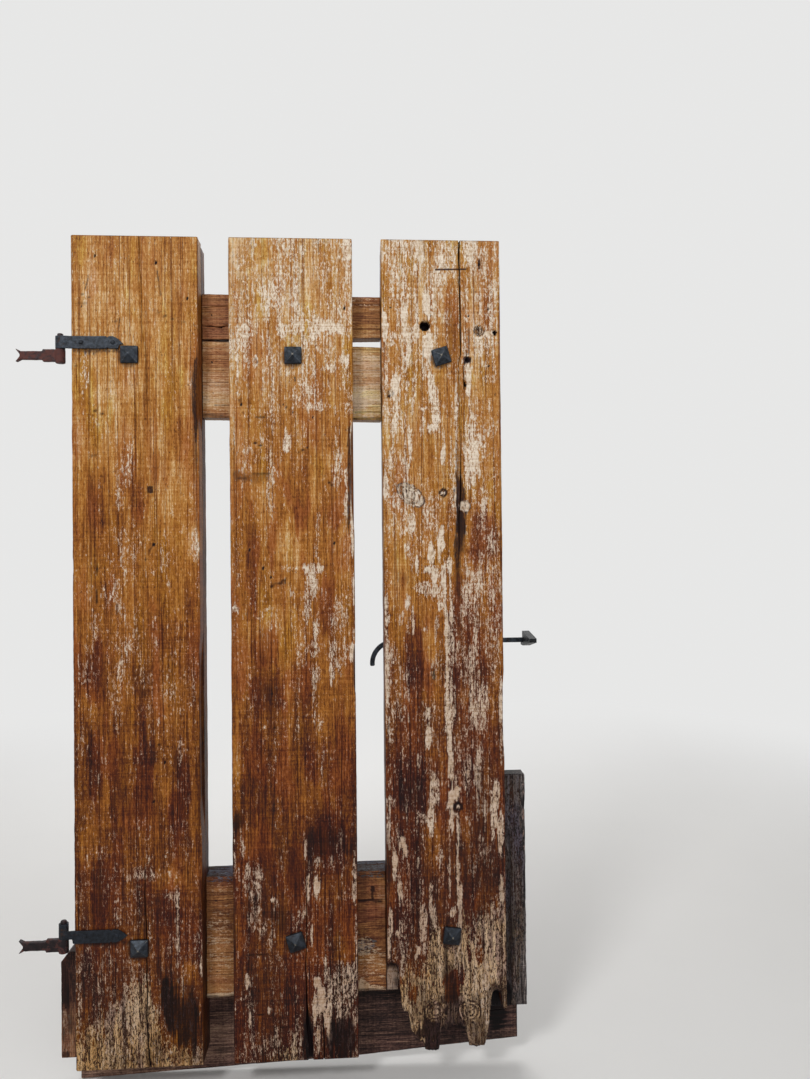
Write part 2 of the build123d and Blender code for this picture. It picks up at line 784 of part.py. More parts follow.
def pintle(shoulder, eye_high):
    """One wall pintle: a split tang, a flat arm on edge, a barrel with a shoulder, and the pin."""
    arm_low = shoulder - arm_high
    arm_mid = shoulder - arm_high / 2
    with BuildPart() as piece:
        with BuildSketch(Plane.YZ):
            with Locations((0, arm_mid)):
                Rectangle(arm_thick, arm_high)
        extrude(amount=axis_x)
        with BuildSketch(Plane.XY.offset(arm_low - barrel_sink)):
            with Locations((axis_x, 0)):
                Circle(pin_dia / 2 + barrel_wall)
        extrude(amount=arm_high + barrel_sink)
        with BuildSketch(Plane.XY.offset(shoulder)):
            with Locations((axis_x, 0)):
                Circle(pin_dia / 2)
        extrude(amount=eye_high + eye_lift + pin_over)
        chamfer(piece.faces().sort_by(Axis.Z)[-1].edges(), pin_chamfer)
        with BuildSketch(front_plane(-arm_thick / 2)):
            with BuildLine():
                Polyline(
                    (0, arm_mid - arm_high * tang_neck / 2),
                    (0, arm_mid + arm_high * tang_neck / 2),
                    (-tang_long + tang_split, arm_mid + arm_high * tang_neck / 2),
                    (-tang_long, arm_mid + arm_high / 2),
                    (-tang_long + tang_split, arm_mid),
                    (-tang_long, arm_mid - arm_high / 2),
                    (-tang_long + tang_split, arm_mid - arm_high * tang_neck / 2),
                    close=True,
                )
            make_face()
        extrude(amount=-arm_thick)
    return piece


write(pintle(upper_shoulder, upper_eye_high), "upper_pintle")
write(pintle(lower_shoulder, lower_eye_high), "lower_pintle")

# Latch bar, its hand end curved down in the gap between the planks
with BuildPart() as latch_bar:
    bend_x = pivot_x - handle_bend
    with BuildSketch(front_plane(bar_front)):
        with BuildLine():
            Line((pivot_x, pivot_z), (bend_x, pivot_z))
            TangentArc((bend_x, pivot_z), (pivot_x - handle_reach, pivot_z - handle_drop), tangent=(-1, 0))
        trace(line_width=bar_high)
        with Locations((pivot_x - handle_reach, pivot_z - handle_drop)):
            Circle(bar_high / 2)
        with Locations(((pivot_x + bar_right) / 2, pivot_z)):
            Rectangle(bar_right - pivot_x, bar_high)
        with Locations((pivot_x, pivot_z)):
            Circle(pivot_boss / 2)
            Circle(pivot_dia / 2 + pivot_fit, mode=Mode.SUBTRACT)
    extrude(amount=-bar_thick)
    chamfer(latch_bar.edges().filter_by(Axis.Y).group_by(Axis.X)[-1], bar_chamfer)
write(latch_bar, "latch_bar")

# Pivot screw of the latch: head, bearing shank and threaded end in the stile
with BuildPart() as latch_pivot:
    with BuildSketch(front_plane(frame_back)):
        with Locations((pivot_x, pivot_z)):
            Circle(pivot_dia / 2)
    extrude(amount=-(2 * bar_air + bar_thick))
    with BuildSketch(front_plane(bar_back + bar_air)):
        with Locations((pivot_x, pivot_z)):
            Circle(pivot_head_dia / 2)
    extrude(amount=-pivot_head_high)
    with BuildSketch(front_plane(frame_back - pivot_screw_long + hole_spare)):
        with Locations((pivot_x, pivot_z)):
            Circle(pivot_screw_dia / 2)
    extrude(amount=-(pivot_screw_long - hole_spare))
    chamfer(latch_pivot.faces().sort_by(Axis.Y)[-1].edges(), pivot_chamfer)
write(latch_pivot, "latch_pivot")

# Guide staple over the bar
with BuildPart() as latch_guide:
    with BuildSketch(Plane.YZ.offset(guide_x - guide_rod / 2)):
        leg_front = frame_back - guide_root + hole_spare
        bridge_front = bar_back + bar_air
        for z in (guide_low_z, guide_high_z):
            with Locations(((leg_front + bridge_front) / 2, z)):
                Rectangle(bridge_front - leg_front, guide_rod)
        with Locations((bridge_front + guide_rod / 2, (guide_low_z + guide_high_z) / 2)):
            Rectangle(guide_rod, guide_high_z - guide_low_z + guide_rod)
    extrude(amount=guide_rod)
write(latch_guide, "latch_guide")

# Keeper on the latch wall: a horn in front of the bar, a ledge under it and a low lip behind it
with BuildPart() as latch_keeper:
    horn_front = front + keeper_front
    horn_back = bar_front - keeper_air
    ledge_top = pivot_z - bar_high / 2 - keeper_rest
    lip_front = bar_back + keeper_side_air
    with BuildSketch(Plane.YZ.offset(latch_wall - keeper_proud)):
        with BuildLine():
            Polyline(
                (horn_front, pivot_z + keeper_front_up),
                (horn_front, pivot_z + keeper_front_up + keeper_front_high),
                (horn_back, pivot_z + keeper_back_high),
                (horn_back, ledge_top),
                (lip_front, ledge_top),
                (lip_front, ledge_top + keeper_lip_high),
                (lip_front + keeper_lip, ledge_top + keeper_lip_high),
                (lip_front + keeper_lip, ledge_top - keeper_ledge),
                (horn_back - keeper_ledge, ledge_top - keeper_ledge),
                close=True,
            )
        make_face()
    extrude(amount=keeper_proud)
    keeper_mid_y = horn_front + keeper_hole_back + keeper_hole_pitch / 2
    keeper_mid_z = pivot_z + keeper_hole_up
    with BuildSketch(Plane.YZ.offset(latch_wall - keeper_proud)):
        with Locations((keeper_mid_y, keeper_mid_z)):
            with GridLocations(keeper_hole_pitch, 0, 2, 1):
                Circle(keeper_hole_dia / 2)
    extrude(amount=keeper_proud, mode=Mode.SUBTRACT)
write(latch_keeper, "latch_keeper")
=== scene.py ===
import bpy
import math
import numpy as np
from mathutils import Matrix, Vector


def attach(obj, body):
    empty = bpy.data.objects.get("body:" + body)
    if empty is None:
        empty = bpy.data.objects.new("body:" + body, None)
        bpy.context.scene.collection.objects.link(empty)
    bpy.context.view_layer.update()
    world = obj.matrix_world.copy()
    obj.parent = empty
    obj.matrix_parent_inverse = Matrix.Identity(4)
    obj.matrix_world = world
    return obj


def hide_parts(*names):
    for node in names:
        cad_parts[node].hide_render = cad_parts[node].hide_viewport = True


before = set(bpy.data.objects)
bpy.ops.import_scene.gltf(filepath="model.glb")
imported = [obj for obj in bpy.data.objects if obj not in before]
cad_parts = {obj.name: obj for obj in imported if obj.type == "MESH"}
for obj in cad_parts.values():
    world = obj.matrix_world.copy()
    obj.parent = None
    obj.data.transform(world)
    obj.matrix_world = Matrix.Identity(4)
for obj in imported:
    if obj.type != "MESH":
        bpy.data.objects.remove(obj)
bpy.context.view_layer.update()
print("frame loaded:", len(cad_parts), "nodes")

mm = 0.001

cameraPlace = {
    "at": (0.7412, -1.9990, 0.9477),
    "yaw": 3.666,        # degrees to the right of +Y
    "pitch": 0.477,      # degrees up
    "roll": -0.54,
    "lens": 810 * 36 / 1079,
    "sensor": 36,
    "clip": (0.01, 100),
}


# fwd = (sin yaw cos pitch, cos yaw cos pitch, sin pitch); right is level and square to it; roll turns both
def makeCamera(spec):
    yaw, pitch, roll = (math.radians(spec[k]) for k in ("yaw", "pitch", "roll"))
    fwd = Vector((math.sin(yaw) * math.cos(pitch), math.cos(yaw) * math.cos(pitch), math.sin(pitch)))
    right = Vector((math.cos(yaw), -math.sin(yaw), 0))
    up = right.cross(fwd)
    camX = right * math.cos(roll) + up * math.sin(roll)
    camY = -right * math.sin(roll) + up * math.cos(roll)
    turn = Matrix((camX, camY, -fwd)).transposed().to_4x4()
    data = bpy.data.cameras.new("gateCamera")
    data.sensor_width = spec["sensor"]
    data.lens = spec["lens"]
    data.clip_start, data.clip_end = spec["clip"]
    camera = bpy.data.objects.new("gateCamera", data)
    bpy.context.collection.objects.link(camera)
    camera.matrix_world = Matrix.Translation(spec["at"]) @ turn
    bpy.context.scene.camera = camera


makeCamera(cameraPlace)

studio = {
    "floor": -0.379,
    "floorColour": (0.80, 0.79, 0.775),
    "worldColour": (0.80, 0.80, 0.795),
    "worldLight": 0.42,
    "behind": (0.9, 4.6),        # metres behind the gate over which the floor fades to the even backdrop
    "around": (2.3, 5.4),        # the same from the middle outwards
    "sides": (-14.0, 15.0),
    "front": -12.0, "bendStart": 4.2, "bendRadius": 2.0, "top": 9.0,
    "lamps": [   # place, aimed at, size, watts
        ("keyLamp", (-1.5, -4.1, 4.1), (0.6, 0, 0.6), 1.4, 136),
        ("fillLamp", (3.0, -4.2, 1.4), (0.6, 0, 0.5), 2.8, 50),
        ("backLamp", (0.6, 3.2, 3.4), (0.6, 3.0, 0.0), 2.6, 90),
    ],
}


# a node with its inputs set: a socket is linked, any other value becomes the input's own
def node(tree, kind, inputs=None, **settings):
    made = tree.nodes.new(kind)
    for key, value in settings.items():
        setattr(made, key, value)
    for key, value in (inputs or {}).items():
        if isinstance(value, bpy.types.NodeSocket):
            tree.links.new(value, made.inputs[key])
        else:
            made.inputs[key].default_value = value
    return made


# one operation on up to three values
def calc(tree, operation, a, b=0.0, c=0.0):
    return node(tree, "ShaderNodeMath", {0: a, 1: b, 2: c}, operation=operation).outputs[0]


# value * factor + rest
def blend(tree, value, factor, rest):
    return calc(tree, "MULTIPLY_ADD", value, factor, rest)


# a * b
def times(tree, a, b):
    return calc(tree, "MULTIPLY", a, b)


# 0 at low, 1 at high, and 3t^2 - 2t^3 between them
def step(tree, value, low, high):
    made = node(tree, "ShaderNodeMapRange", {0: value, 1: low, 2: high}, interpolation_type="SMOOTHSTEP")
    return made.outputs[0]


# a * (1 - factor) + b * factor, or a * b there
def mixed(tree, factor, a, b, mode="MIX"):
    made = node(tree, "ShaderNodeMix", {0: factor, 6: a, 7: b}, data_type="RGBA", blend_type=mode)
    made.clamp_factor = True
    return made.outputs[2]


# the colour at factor on straight runs between the stops
def colours(tree, factor, stops):
    made = node(tree, "ShaderNodeValToRGB", {0: factor})
    ramp = made.color_ramp
    while len(ramp.elements) < len(stops):
        ramp.elements.new(0.5)
    for element, (place, colour) in zip(ramp.elements, stops):
        element.position = place
        element.color = (*colour, 1)
    return made.outputs[0]


# an empty material and its tree
def newMaterial(name):
    made = bpy.data.materials.new(name)
    made.use_nodes = True
    made.node_tree.nodes.clear()
    return made, made.node_tree


# the shader and the material's output; the level of its reflection stands on its own socket
def finishMaterial(tree, inputs, reflection):
    lit = node(tree, "ShaderNodeBsdfPrincipled", inputs)
    lit.inputs["Specular IOR Level"].default_value = reflection
    node(tree, "ShaderNodeOutputMaterial", {0: lit.outputs[0]})


# a normal tilted by the slope of height * distance, in metres
def bumped(tree, height, strength, distance):
    made = node(tree, "ShaderNodeBump", {"Strength": strength, "Distance": distance, "Height": height})
    return made.outputs[0]


# a stretched noise: scale is cycles per metre across the grain, along it and through the board
def grainNoise(tree, scales, detail=4.0, rough=0.55, shift=0.0, warp=0.0):
    coords = node(tree, "ShaderNodeTexCoord").outputs["Object"]
    place = {0: coords, 1: (shift, shift * 1.7, shift * 2.3), 3: scales}
    placed = node(tree, "ShaderNodeMapping", place).outputs[0]
    made = node(tree, "ShaderNodeTexNoise", {0: placed, 2: 1.0, 3: detail, 4: rough, 8: warp})
    return made.outputs[0]


# far from the gate the floor gives way to the even backdrop, to the camera and in reflections
def floorLook(spec):
    mat, tree = newMaterial("paleFloor")
    speck = grainNoise(tree, (3, 3, 3), 3)
    tint = mixed(tree, speck, (*[c * 0.97 for c in spec["floorColour"]], 1), (*spec["floorColour"], 1))
    lit = node(tree, "ShaderNodeBsdfPrincipled", {"Base Color": tint, "Roughness": 0.9})
    lit.inputs["Specular IOR Level"].default_value = 0.15
    path = node(tree, "ShaderNodeLightPath")
    seen = calc(tree, "MAXIMUM", path.outputs["Is Camera Ray"], path.outputs["Is Glossy Ray"])
    place = node(tree, "ShaderNodeTexCoord").outputs["Object"]
    parts = node(tree, "ShaderNodeSeparateXYZ", {0: place}).outputs
    across, back = parts[0], parts[1]
    reach = calc(tree, "SQRT", blend(tree, across, across, times(tree, back, back)))
    away = calc(tree, "MAXIMUM", step(tree, back, *spec["behind"]), step(tree, reach, *spec["around"]))
    even = node(tree, "ShaderNodeEmission", {0: (*spec["worldColour"], 1), 1: 1.0})
    shown = {0: times(tree, seen, away), 1: lit.outputs[0], 2: even.outputs[0]}
    both = node(tree, "ShaderNodeMixShader", shown)
    node(tree, "ShaderNodeOutputMaterial", {0: both.outputs[0]})
    return mat


# the floor runs level, then turns up behind the object in a quarter circle into the backdrop
def buildFloor(spec):
    radius, start = spec["bendRadius"], spec["bendStart"]
    turn = np.linspace(0, math.pi / 2, 24)
    ys = np.concatenate([[spec["front"]], start + radius * np.sin(turn), [start + radius]])
    zs = np.concatenate([[0.0], radius * (1 - np.cos(turn)), [spec["top"]]]) + spec["floor"]
    n = len(ys)
    grid = np.stack([np.repeat(spec["sides"], n), np.tile(ys, 2), np.tile(zs, 2)], 1)
    i = np.arange(n - 1)
    faces = np.stack([i, i + n, i + n + 1, i + 1], 1)
    mesh = bpy.data.meshes.new("studioFloor")
    mesh.from_pydata(grid.tolist(), [], faces.tolist())
    mesh.polygons.foreach_set("use_smooth", np.ones(len(faces), bool))
    mesh.materials.append(floorLook(spec))
    floor = bpy.data.objects.new("studioFloor", mesh)
    bpy.context.collection.objects.link(floor)


# the sky is brighter to the camera than it lights
def buildSky(spec):
    world = bpy.data.worlds.new("studioWorld")
    bpy.context.scene.world = world
    world.use_nodes = True
    tree = world.node_tree
    tree.nodes.clear()
    path = node(tree, "ShaderNodeLightPath").outputs
    mirrored = calc(tree, "MAXIMUM", path["Is Glossy Ray"], path["Is Transmission Ray"])
    seen = calc(tree, "MAXIMUM", path["Is Camera Ray"], mirrored)
    strength = blend(tree, seen, 1.0 - spec["worldLight"], spec["worldLight"])
    sky = node(tree, "ShaderNodeBackground", {0: (*spec["worldColour"], 1), 1: strength})
    node(tree, "ShaderNodeOutputWorld", {0: sky.outputs[0]})


# round area lamps, each aimed at its own point
def buildLamps(spec):
    for name, at, aim, size, watts in spec["lamps"]:
        data = bpy.data.lights.new(name, "AREA")
        data.shape, data.size, data.energy = "DISK", size, watts
        lamp = bpy.data.objects.new(name, data)
        lamp.location = at
        lamp.rotation_euler = (Vector(aim) - Vector(at)).to_track_quat("-Z", "Y").to_euler()
        bpy.context.collection.objects.link(lamp)


bpy.context.scene.view_settings.view_transform = "Standard"
buildFloor(studio)
buildSky(studio)
buildLamps(studio)
print("camera and studio made")


# 3t^2 - 2t^3 between low and high
def ease(x, low, high):
    t = np.clip((x - low) / (high - low), 0, 1)
    return t * t * (3 - 2 * t)


# straight runs between (place, value) rows
def between(rows, x):
    return np.interp(x, *zip(*rows))


# the fraction of a large sine of the cell's numbers: a random value for each cell
def cellValue(i, j, seed):
    s = np.sin(i * 127.1 + j * 311.7 + seed * 74.7) * 43758.5453
    return s - np.floor(s)


# random cell values joined by 3t^2 - 2t^3, summed over octaves, each half as strong and twice as fine;
# from -1 to 1
def softNoise(u, v, seed, octaves=3):
    total, weight = 0.0, 0.0
    for k in range(octaves):
        s = 2.0 ** k
        x, y = u * s + seed * 3.7, v * s - seed * 1.9
        i, j = np.floor(x), np.floor(y)
        fx, fy = x - i, y - j
        fx, fy = fx * fx * (3 - 2 * fx), fy * fy * (3 - 2 * fy)
        low = cellValue(i, j, seed + k) * (1 - fx) + cellValue(i + 1, j, seed + k) * fx
        high = cellValue(i, j + 1, seed + k) * (1 - fx) + cellValue(i + 1, j + 1, seed + k) * fx
        total = total + (low * (1 - fy) + high * fy) / s
        weight += 1 / s
    return total / weight * 2 - 1


# the same from 0 to 1
def halfNoise(u, v, seed, octaves=3):
    return 0.5 + 0.5 * softNoise(u, v, seed, octaves)


# the largest of many soft ellipses: amount * ease(1.35 - distance), the ellipse's own distance bent by noise
def patchwork(patches, a, l, seed, ragged):
    bend = softNoise(a / 5, l / 45, seed, 3) * ragged
    field = np.zeros_like(a)
    for across, up, wide, high, amount in patches:
        far = np.sqrt(((a - across) / wide) ** 2 + ((l - up) / high) ** 2)
        np.maximum(field, amount * ease(1.35 - far + bend, 0.0, 0.55), out=field)
    return field


# 1 on each straight scratch, and 0 a little over its width away, so that the rows catch it
def scratches(lines, a, l):
    field = np.zeros_like(a)
    for a0, l0, a1, l1, wide, amount in lines:
        da, dl = a1 - a0, l1 - l0
        t = np.clip(((a - a0) * da + (l - l0) * dl) / (da * da + dl * dl), 0, 1)
        far = np.hypot(a - a0 - t * da, l - l0 - t * dl)
        np.maximum(field, amount * (1 - ease(far, wide * 0.35, wide * 1.1 + 1.9)), out=field)
    return field


# A board is a rounded section carried along its length; these hold where its own dictionary says nothing.
# Rows: pale, deep, paint, coat, dark and bareSpots (across, up, half across, half up, amount), marks and
# lightMarks (across, up, across, up, width, amount), holes (across, up, radius, depth), plates (across, up,
# half, darkness), rings (across, up, radius), chips and worn stretches (up, half length, depth), tone, crumbs
# and ruddy (up, value), foot, high and bareLine (across, up), dense (up, half length, how much denser)
boardDefaults = {
    "along": "Z", "thick": 45.0, "backRound": 1.5, "endRound": 2.0, "endRough": 0.8, "wear": 1.0,
    "sideCount": 8, "capRows": 5, "topRounder": 1.0, "grainDeep": 0.35, "sideDark": 0.30, "topBare": 0.0,
    "staining": 0.55, "reddening": 0.6, "flaking": 1.0, "crumbs": [(0, 0.0)], "ruddy": [(0, 0.0)],
    "cracks": [], "dense": [], "extra": [], "leftChips": [], "rightChips": [], "leftWorn": [],
    "rightWorn": [], "foot": [], "high": [], "holes": [], "knots": [], "rings": [], "plates": [],
    "marks": [], "lightMarks": [], "pale": [], "deep": [], "paint": [], "coat": [], "dark": [],
    "bareSpots": [], "bareLine": [], "slot": "frame_timber",
}
cornerTurns = np.radians([22.5, 45.0, 67.5])
crackColumns = {"step": 1.4, "near": 4.0, "far": 32.0, "apart": 0.02,
                "shares": ((-2, -1, 0), (-1, -0.72, 0.8), (0, 0, 1), (1, 0.72, 0.8), (2, 1, 0))}


# columns of the front face: even ones, with a cluster of five on every crack and one at every given place
def columnBase(width, count, cracks, extra):
    even = np.linspace(0, width, count)
    fixed = [0.0, width, *extra]
    centres = [float(np.mean([p[1] for p in crack["path"]])) for crack in cracks]
    offsets = [(k, k * crackColumns["step"]) for k, share, drop in crackColumns["shares"]]
    fixed += [centre + off for centre in centres for k, off in offsets]
    keep = [x for x in even if all(abs(x - f) > width / count * 0.62 for f in fixed)]
    base = np.unique(np.round(np.array(keep + fixed), 4))
    owner = np.full(len(base), -1)
    part = np.zeros(len(base), int)
    for n, centre in enumerate(centres):
        for k, off in offsets:
            at = int(np.argmin(np.abs(base - centre - off)))
            owner[at], part[at] = n, k
    return base, owner, part


# rows along the length: their spacing is the inverse of 1 plus a bump for each dense stretch
def rowPlaces(length, count, dense):
    fine = np.linspace(0, length, 4000)
    weight = np.ones_like(fine)
    for at, half, more in dense:
        weight += more * (1 - ease(np.abs(fine - at), half * 0.8, half * 1.25))
    total = np.concatenate([[0], np.cumsum((weight[1:] + weight[:-1]) / 2)])
    return np.interp(np.linspace(0, total[-1], count), total, fine)


# the ring of a section: front, round corner, right side, small back corner, back, left side
def sectionRing(front, width, thick, leftRound, rightRound, backRound, sideCount):
    one = np.ones((front.shape[0], 1))
    rl, rr, rb, w = leftRound, rightRound, backRound * one, width
    f = front / width
    inner = rl + f * (w - rl - rr)
    side = np.linspace(0, 1, sideCount)[None, :]
    s, c = np.sin(cornerTurns), np.cos(cornerTurns)
    sr, cr = s[None, :], c[None, :]
    zero = np.zeros_like(f)
    backRow = w - rb - (1 - f[:, ::-1]) * (w - 2 * rb)
    a = [inner, w - rr + rr * sr, w * np.ones_like(side) * one, w - rb + rb * cr, backRow,
         rb - rb * sr, 0 * side * one, rl - rl * cr]
    t = [zero, rr * (1 - cr), rr + side * (thick - rr - rb), thick - rb + rb * sr, thick + zero,
         thick - rb + rb * cr, thick - rb + side * (rl + rb - thick), rl * (1 - sr)]
    counts = [x.shape[1] for x in a]
    # how much each part of the ring faces front, right, back and left; 0 where a part isn't named
    facing = ({0: 1, 1: c, 7: s}, {1: s, 2: 1, 3: c}, {3: s, 4: 1, 5: c}, {5: s, 6: 1, 7: c})
    weights = [np.concatenate([part.get(k, 0) * np.ones(n) for k, n in enumerate(counts)]) for part in facing]
    return np.concatenate(a, 1), np.concatenate(t, 1), weights, counts


# faces of the tube, of the two end grids and of their four closing polygons
def boardFaces(rows, counts, capRows, flip):
    ring = sum(counts)
    n = counts[0]
    i = np.arange(ring)
    j = np.arange(rows - 1)[:, None]
    after = (i + 1) % ring
    tube = np.stack([j * ring + i, j * ring + after, (j + 1) * ring + after, (j + 1) * ring + i], -1)
    faces = [tube.reshape(-1, 4)]
    polygons = []
    backStart = sum(counts[:4])
    right = np.arange(n - 1, backStart + 1)
    left = np.append(np.arange(backStart + n - 1, ring), 0)
    for end in (0, 1):
        start = 0 if end == 0 else (rows - 1) * ring
        inner = rows * ring + end * capRows * n + np.arange(capRows * n).reshape(capRows, n)
        backRow = start + backStart + np.arange(n)[::-1]
        grid = np.concatenate([(start + np.arange(n))[None], inner, backRow[None]], 0)
        quad = np.stack([grid[:-1, :-1], grid[1:, :-1], grid[1:, 1:], grid[:-1, 1:]], -1).reshape(-1, 4)
        rightPoly = np.concatenate([start + right, inner[::-1, -1]])
        leftPoly = np.concatenate([start + left, inner[:, 0]])
        if end == 1:
            quad = quad[:, ::-1]
        else:
            rightPoly, leftPoly = rightPoly[::-1], leftPoly[::-1]
        faces.append(quad)
        polygons += [rightPoly, leftPoly]
    quads = np.concatenate(faces)
    if flip:
        quads, polygons = quads[:, ::-1], [p[::-1] for p in polygons]
    return quads, polygons


# a smooth mesh from points in millimetres, equal faces and odd polygons
def meshPiece(name, points, quads, polygons):
    mesh = bpy.data.meshes.new(name)
    loops = np.concatenate([quads.ravel(), *polygons]).astype(np.int32)
    sizes = np.concatenate([np.full(len(quads), quads.shape[1]), [len(p) for p in polygons]]).astype(np.int32)
    starts = np.concatenate([[0], np.cumsum(sizes)[:-1]]).astype(np.int32)
    mesh.vertices.add(len(points))
    mesh.vertices.foreach_set("co", (points * mm).astype(np.float32).ravel())
    mesh.loops.add(len(loops))
    mesh.loops.foreach_set("vertex_index", loops)
    mesh.polygons.add(len(sizes))
    mesh.polygons.foreach_set("loop_start", starts)
    mesh.polygons.foreach_set("use_smooth", np.ones(len(sizes), bool))
    mesh.update(calc_edges=True)
    mesh.validate()
    piece = bpy.data.objects.new(name, mesh)
    bpy.context.collection.objects.link(piece)
    return piece


# three values per point, kept as a colour that the material reads
def setLook(piece, name, values):
    layer = piece.data.attributes.new(name, "FLOAT_COLOR", "POINT")
    full = np.concatenate([np.clip(values, 0, 1), np.ones((len(values), 1))], 1)
    layer.data.foreach_set("color", full.astype(np.float32).ravel())


# how far across a crack lies at each row, how wide and how deep it is: straight runs between the path's rows
# of up, across and half width, with a small wander
def crackAt(crack, l, seed):
    path = sorted(crack["path"])
    ups = [p[0] for p in path]
    wander = softNoise(l / 22, l * 0, seed, 2) * crack.get("wander", 0.9)
    across = np.interp(l, ups, [p[1] for p in path]) + wander
    half = np.interp(l, ups, [p[2] for p in path])
    deep = crack["deep"] * ease(half, 0.12, 0.7) * ((l > ups[0] - 1) & (l < ups[-1] + 1))
    return across, np.maximum(half, 0.3), deep


# columns bent over to follow each crack, in order and a little apart, and the depth of the cracks on them
def crackedColumns(spec, l):
    width, cracks = spec["width"], spec["cracks"]
    base, owner, part = columnBase(width, spec["columns"], cracks, spec["extra"])
    cols = np.repeat(base[None, :], len(l), 0)
    grooves = np.zeros_like(cols)
    for n, crack in enumerate(cracks):
        centre = base[(owner == n) & (part == 0)][0]
        across, half, deep = crackAt(crack, l, spec["seed"] + n)
        window = 1 - ease(np.abs(base - centre), crackColumns["near"], crackColumns["far"])
        cols = cols + (across - centre)[:, None] * window[None, :]
        for k, share, drop in crackColumns["shares"]:
            at = np.where((owner == n) & (part == k))[0]
            cols[:, at] = (across + share * half)[:, None]
            grooves[:, at] = (deep * drop)[:, None]
    apart = crackColumns["apart"] * np.arange(cols.shape[1])[None, :]
    cols = np.maximum.accumulate(np.clip(cols, 0, width) - apart, axis=1) + apart
    return np.minimum(cols, width - apart[:, ::-1]), grooves


# the radius of one long edge, uneven along its length, plus its chips
def edgeRadius(spec, l, seed, chips, factor):
    radius = np.clip(spec["round"] * (1 + 0.7 * softNoise(l / 45, l * 0, seed, 3)), 0.6, 9) * factor
    for at, half, deep in chips:
        radius = radius + deep * (1 - ease(np.abs(l - at), half * 0.3, half))
    return radius[:, None]


# how far one side is worn in: by noise, and along named stretches
def sideWear(spec, up, t, seed, stretches):
    inward = spec["wear"] * (0.7 + 0.7 * softNoise(up / 60, t / 18, seed, 4))
    inward = inward + 0.4 * softNoise(up / 7, t / 5, seed + 1, 2)
    for at, half, deep in stretches:
        inward = inward + deep * (1 - ease(np.abs(up - at), half * 0.55, half))
    return np.clip(inward, 0, 20)


# the inner rows of an end, straight between front and back with a little end-grain relief
def endGrid(spec, front, back, sign):
    k = (np.arange(1, spec["capRows"] + 1) / (spec["capRows"] + 1))[:, None, None]
    grid = front[None] * (1 - k) + back[None] * k
    rough = halfNoise(grid[..., 0] / 3, grid[..., 2] / 6, spec["seed"] + 9, 2)
    grid[..., 1] += sign * rough * spec["endRough"]
    return grid.reshape(-1, 3)


# the board's own across, along and deep, set in the gate's frame; "rise" and "tall" slant a lying board
def setInFrame(spec, across, along, deep):
    x0, y0, z0 = spec["corner"]
    if spec["along"] == "Z":
        return np.stack([x0 + across, y0 + deep, z0 + along], 1)
    rise = between(spec["rise"], along) if "rise" in spec else 0.0
    scaleUp = between(spec["tall"], along) / spec["width"] if "tall" in spec else 1.0
    return np.stack([x0 + along, y0 + deep, z0 + rise + across * scaleUp], 1)


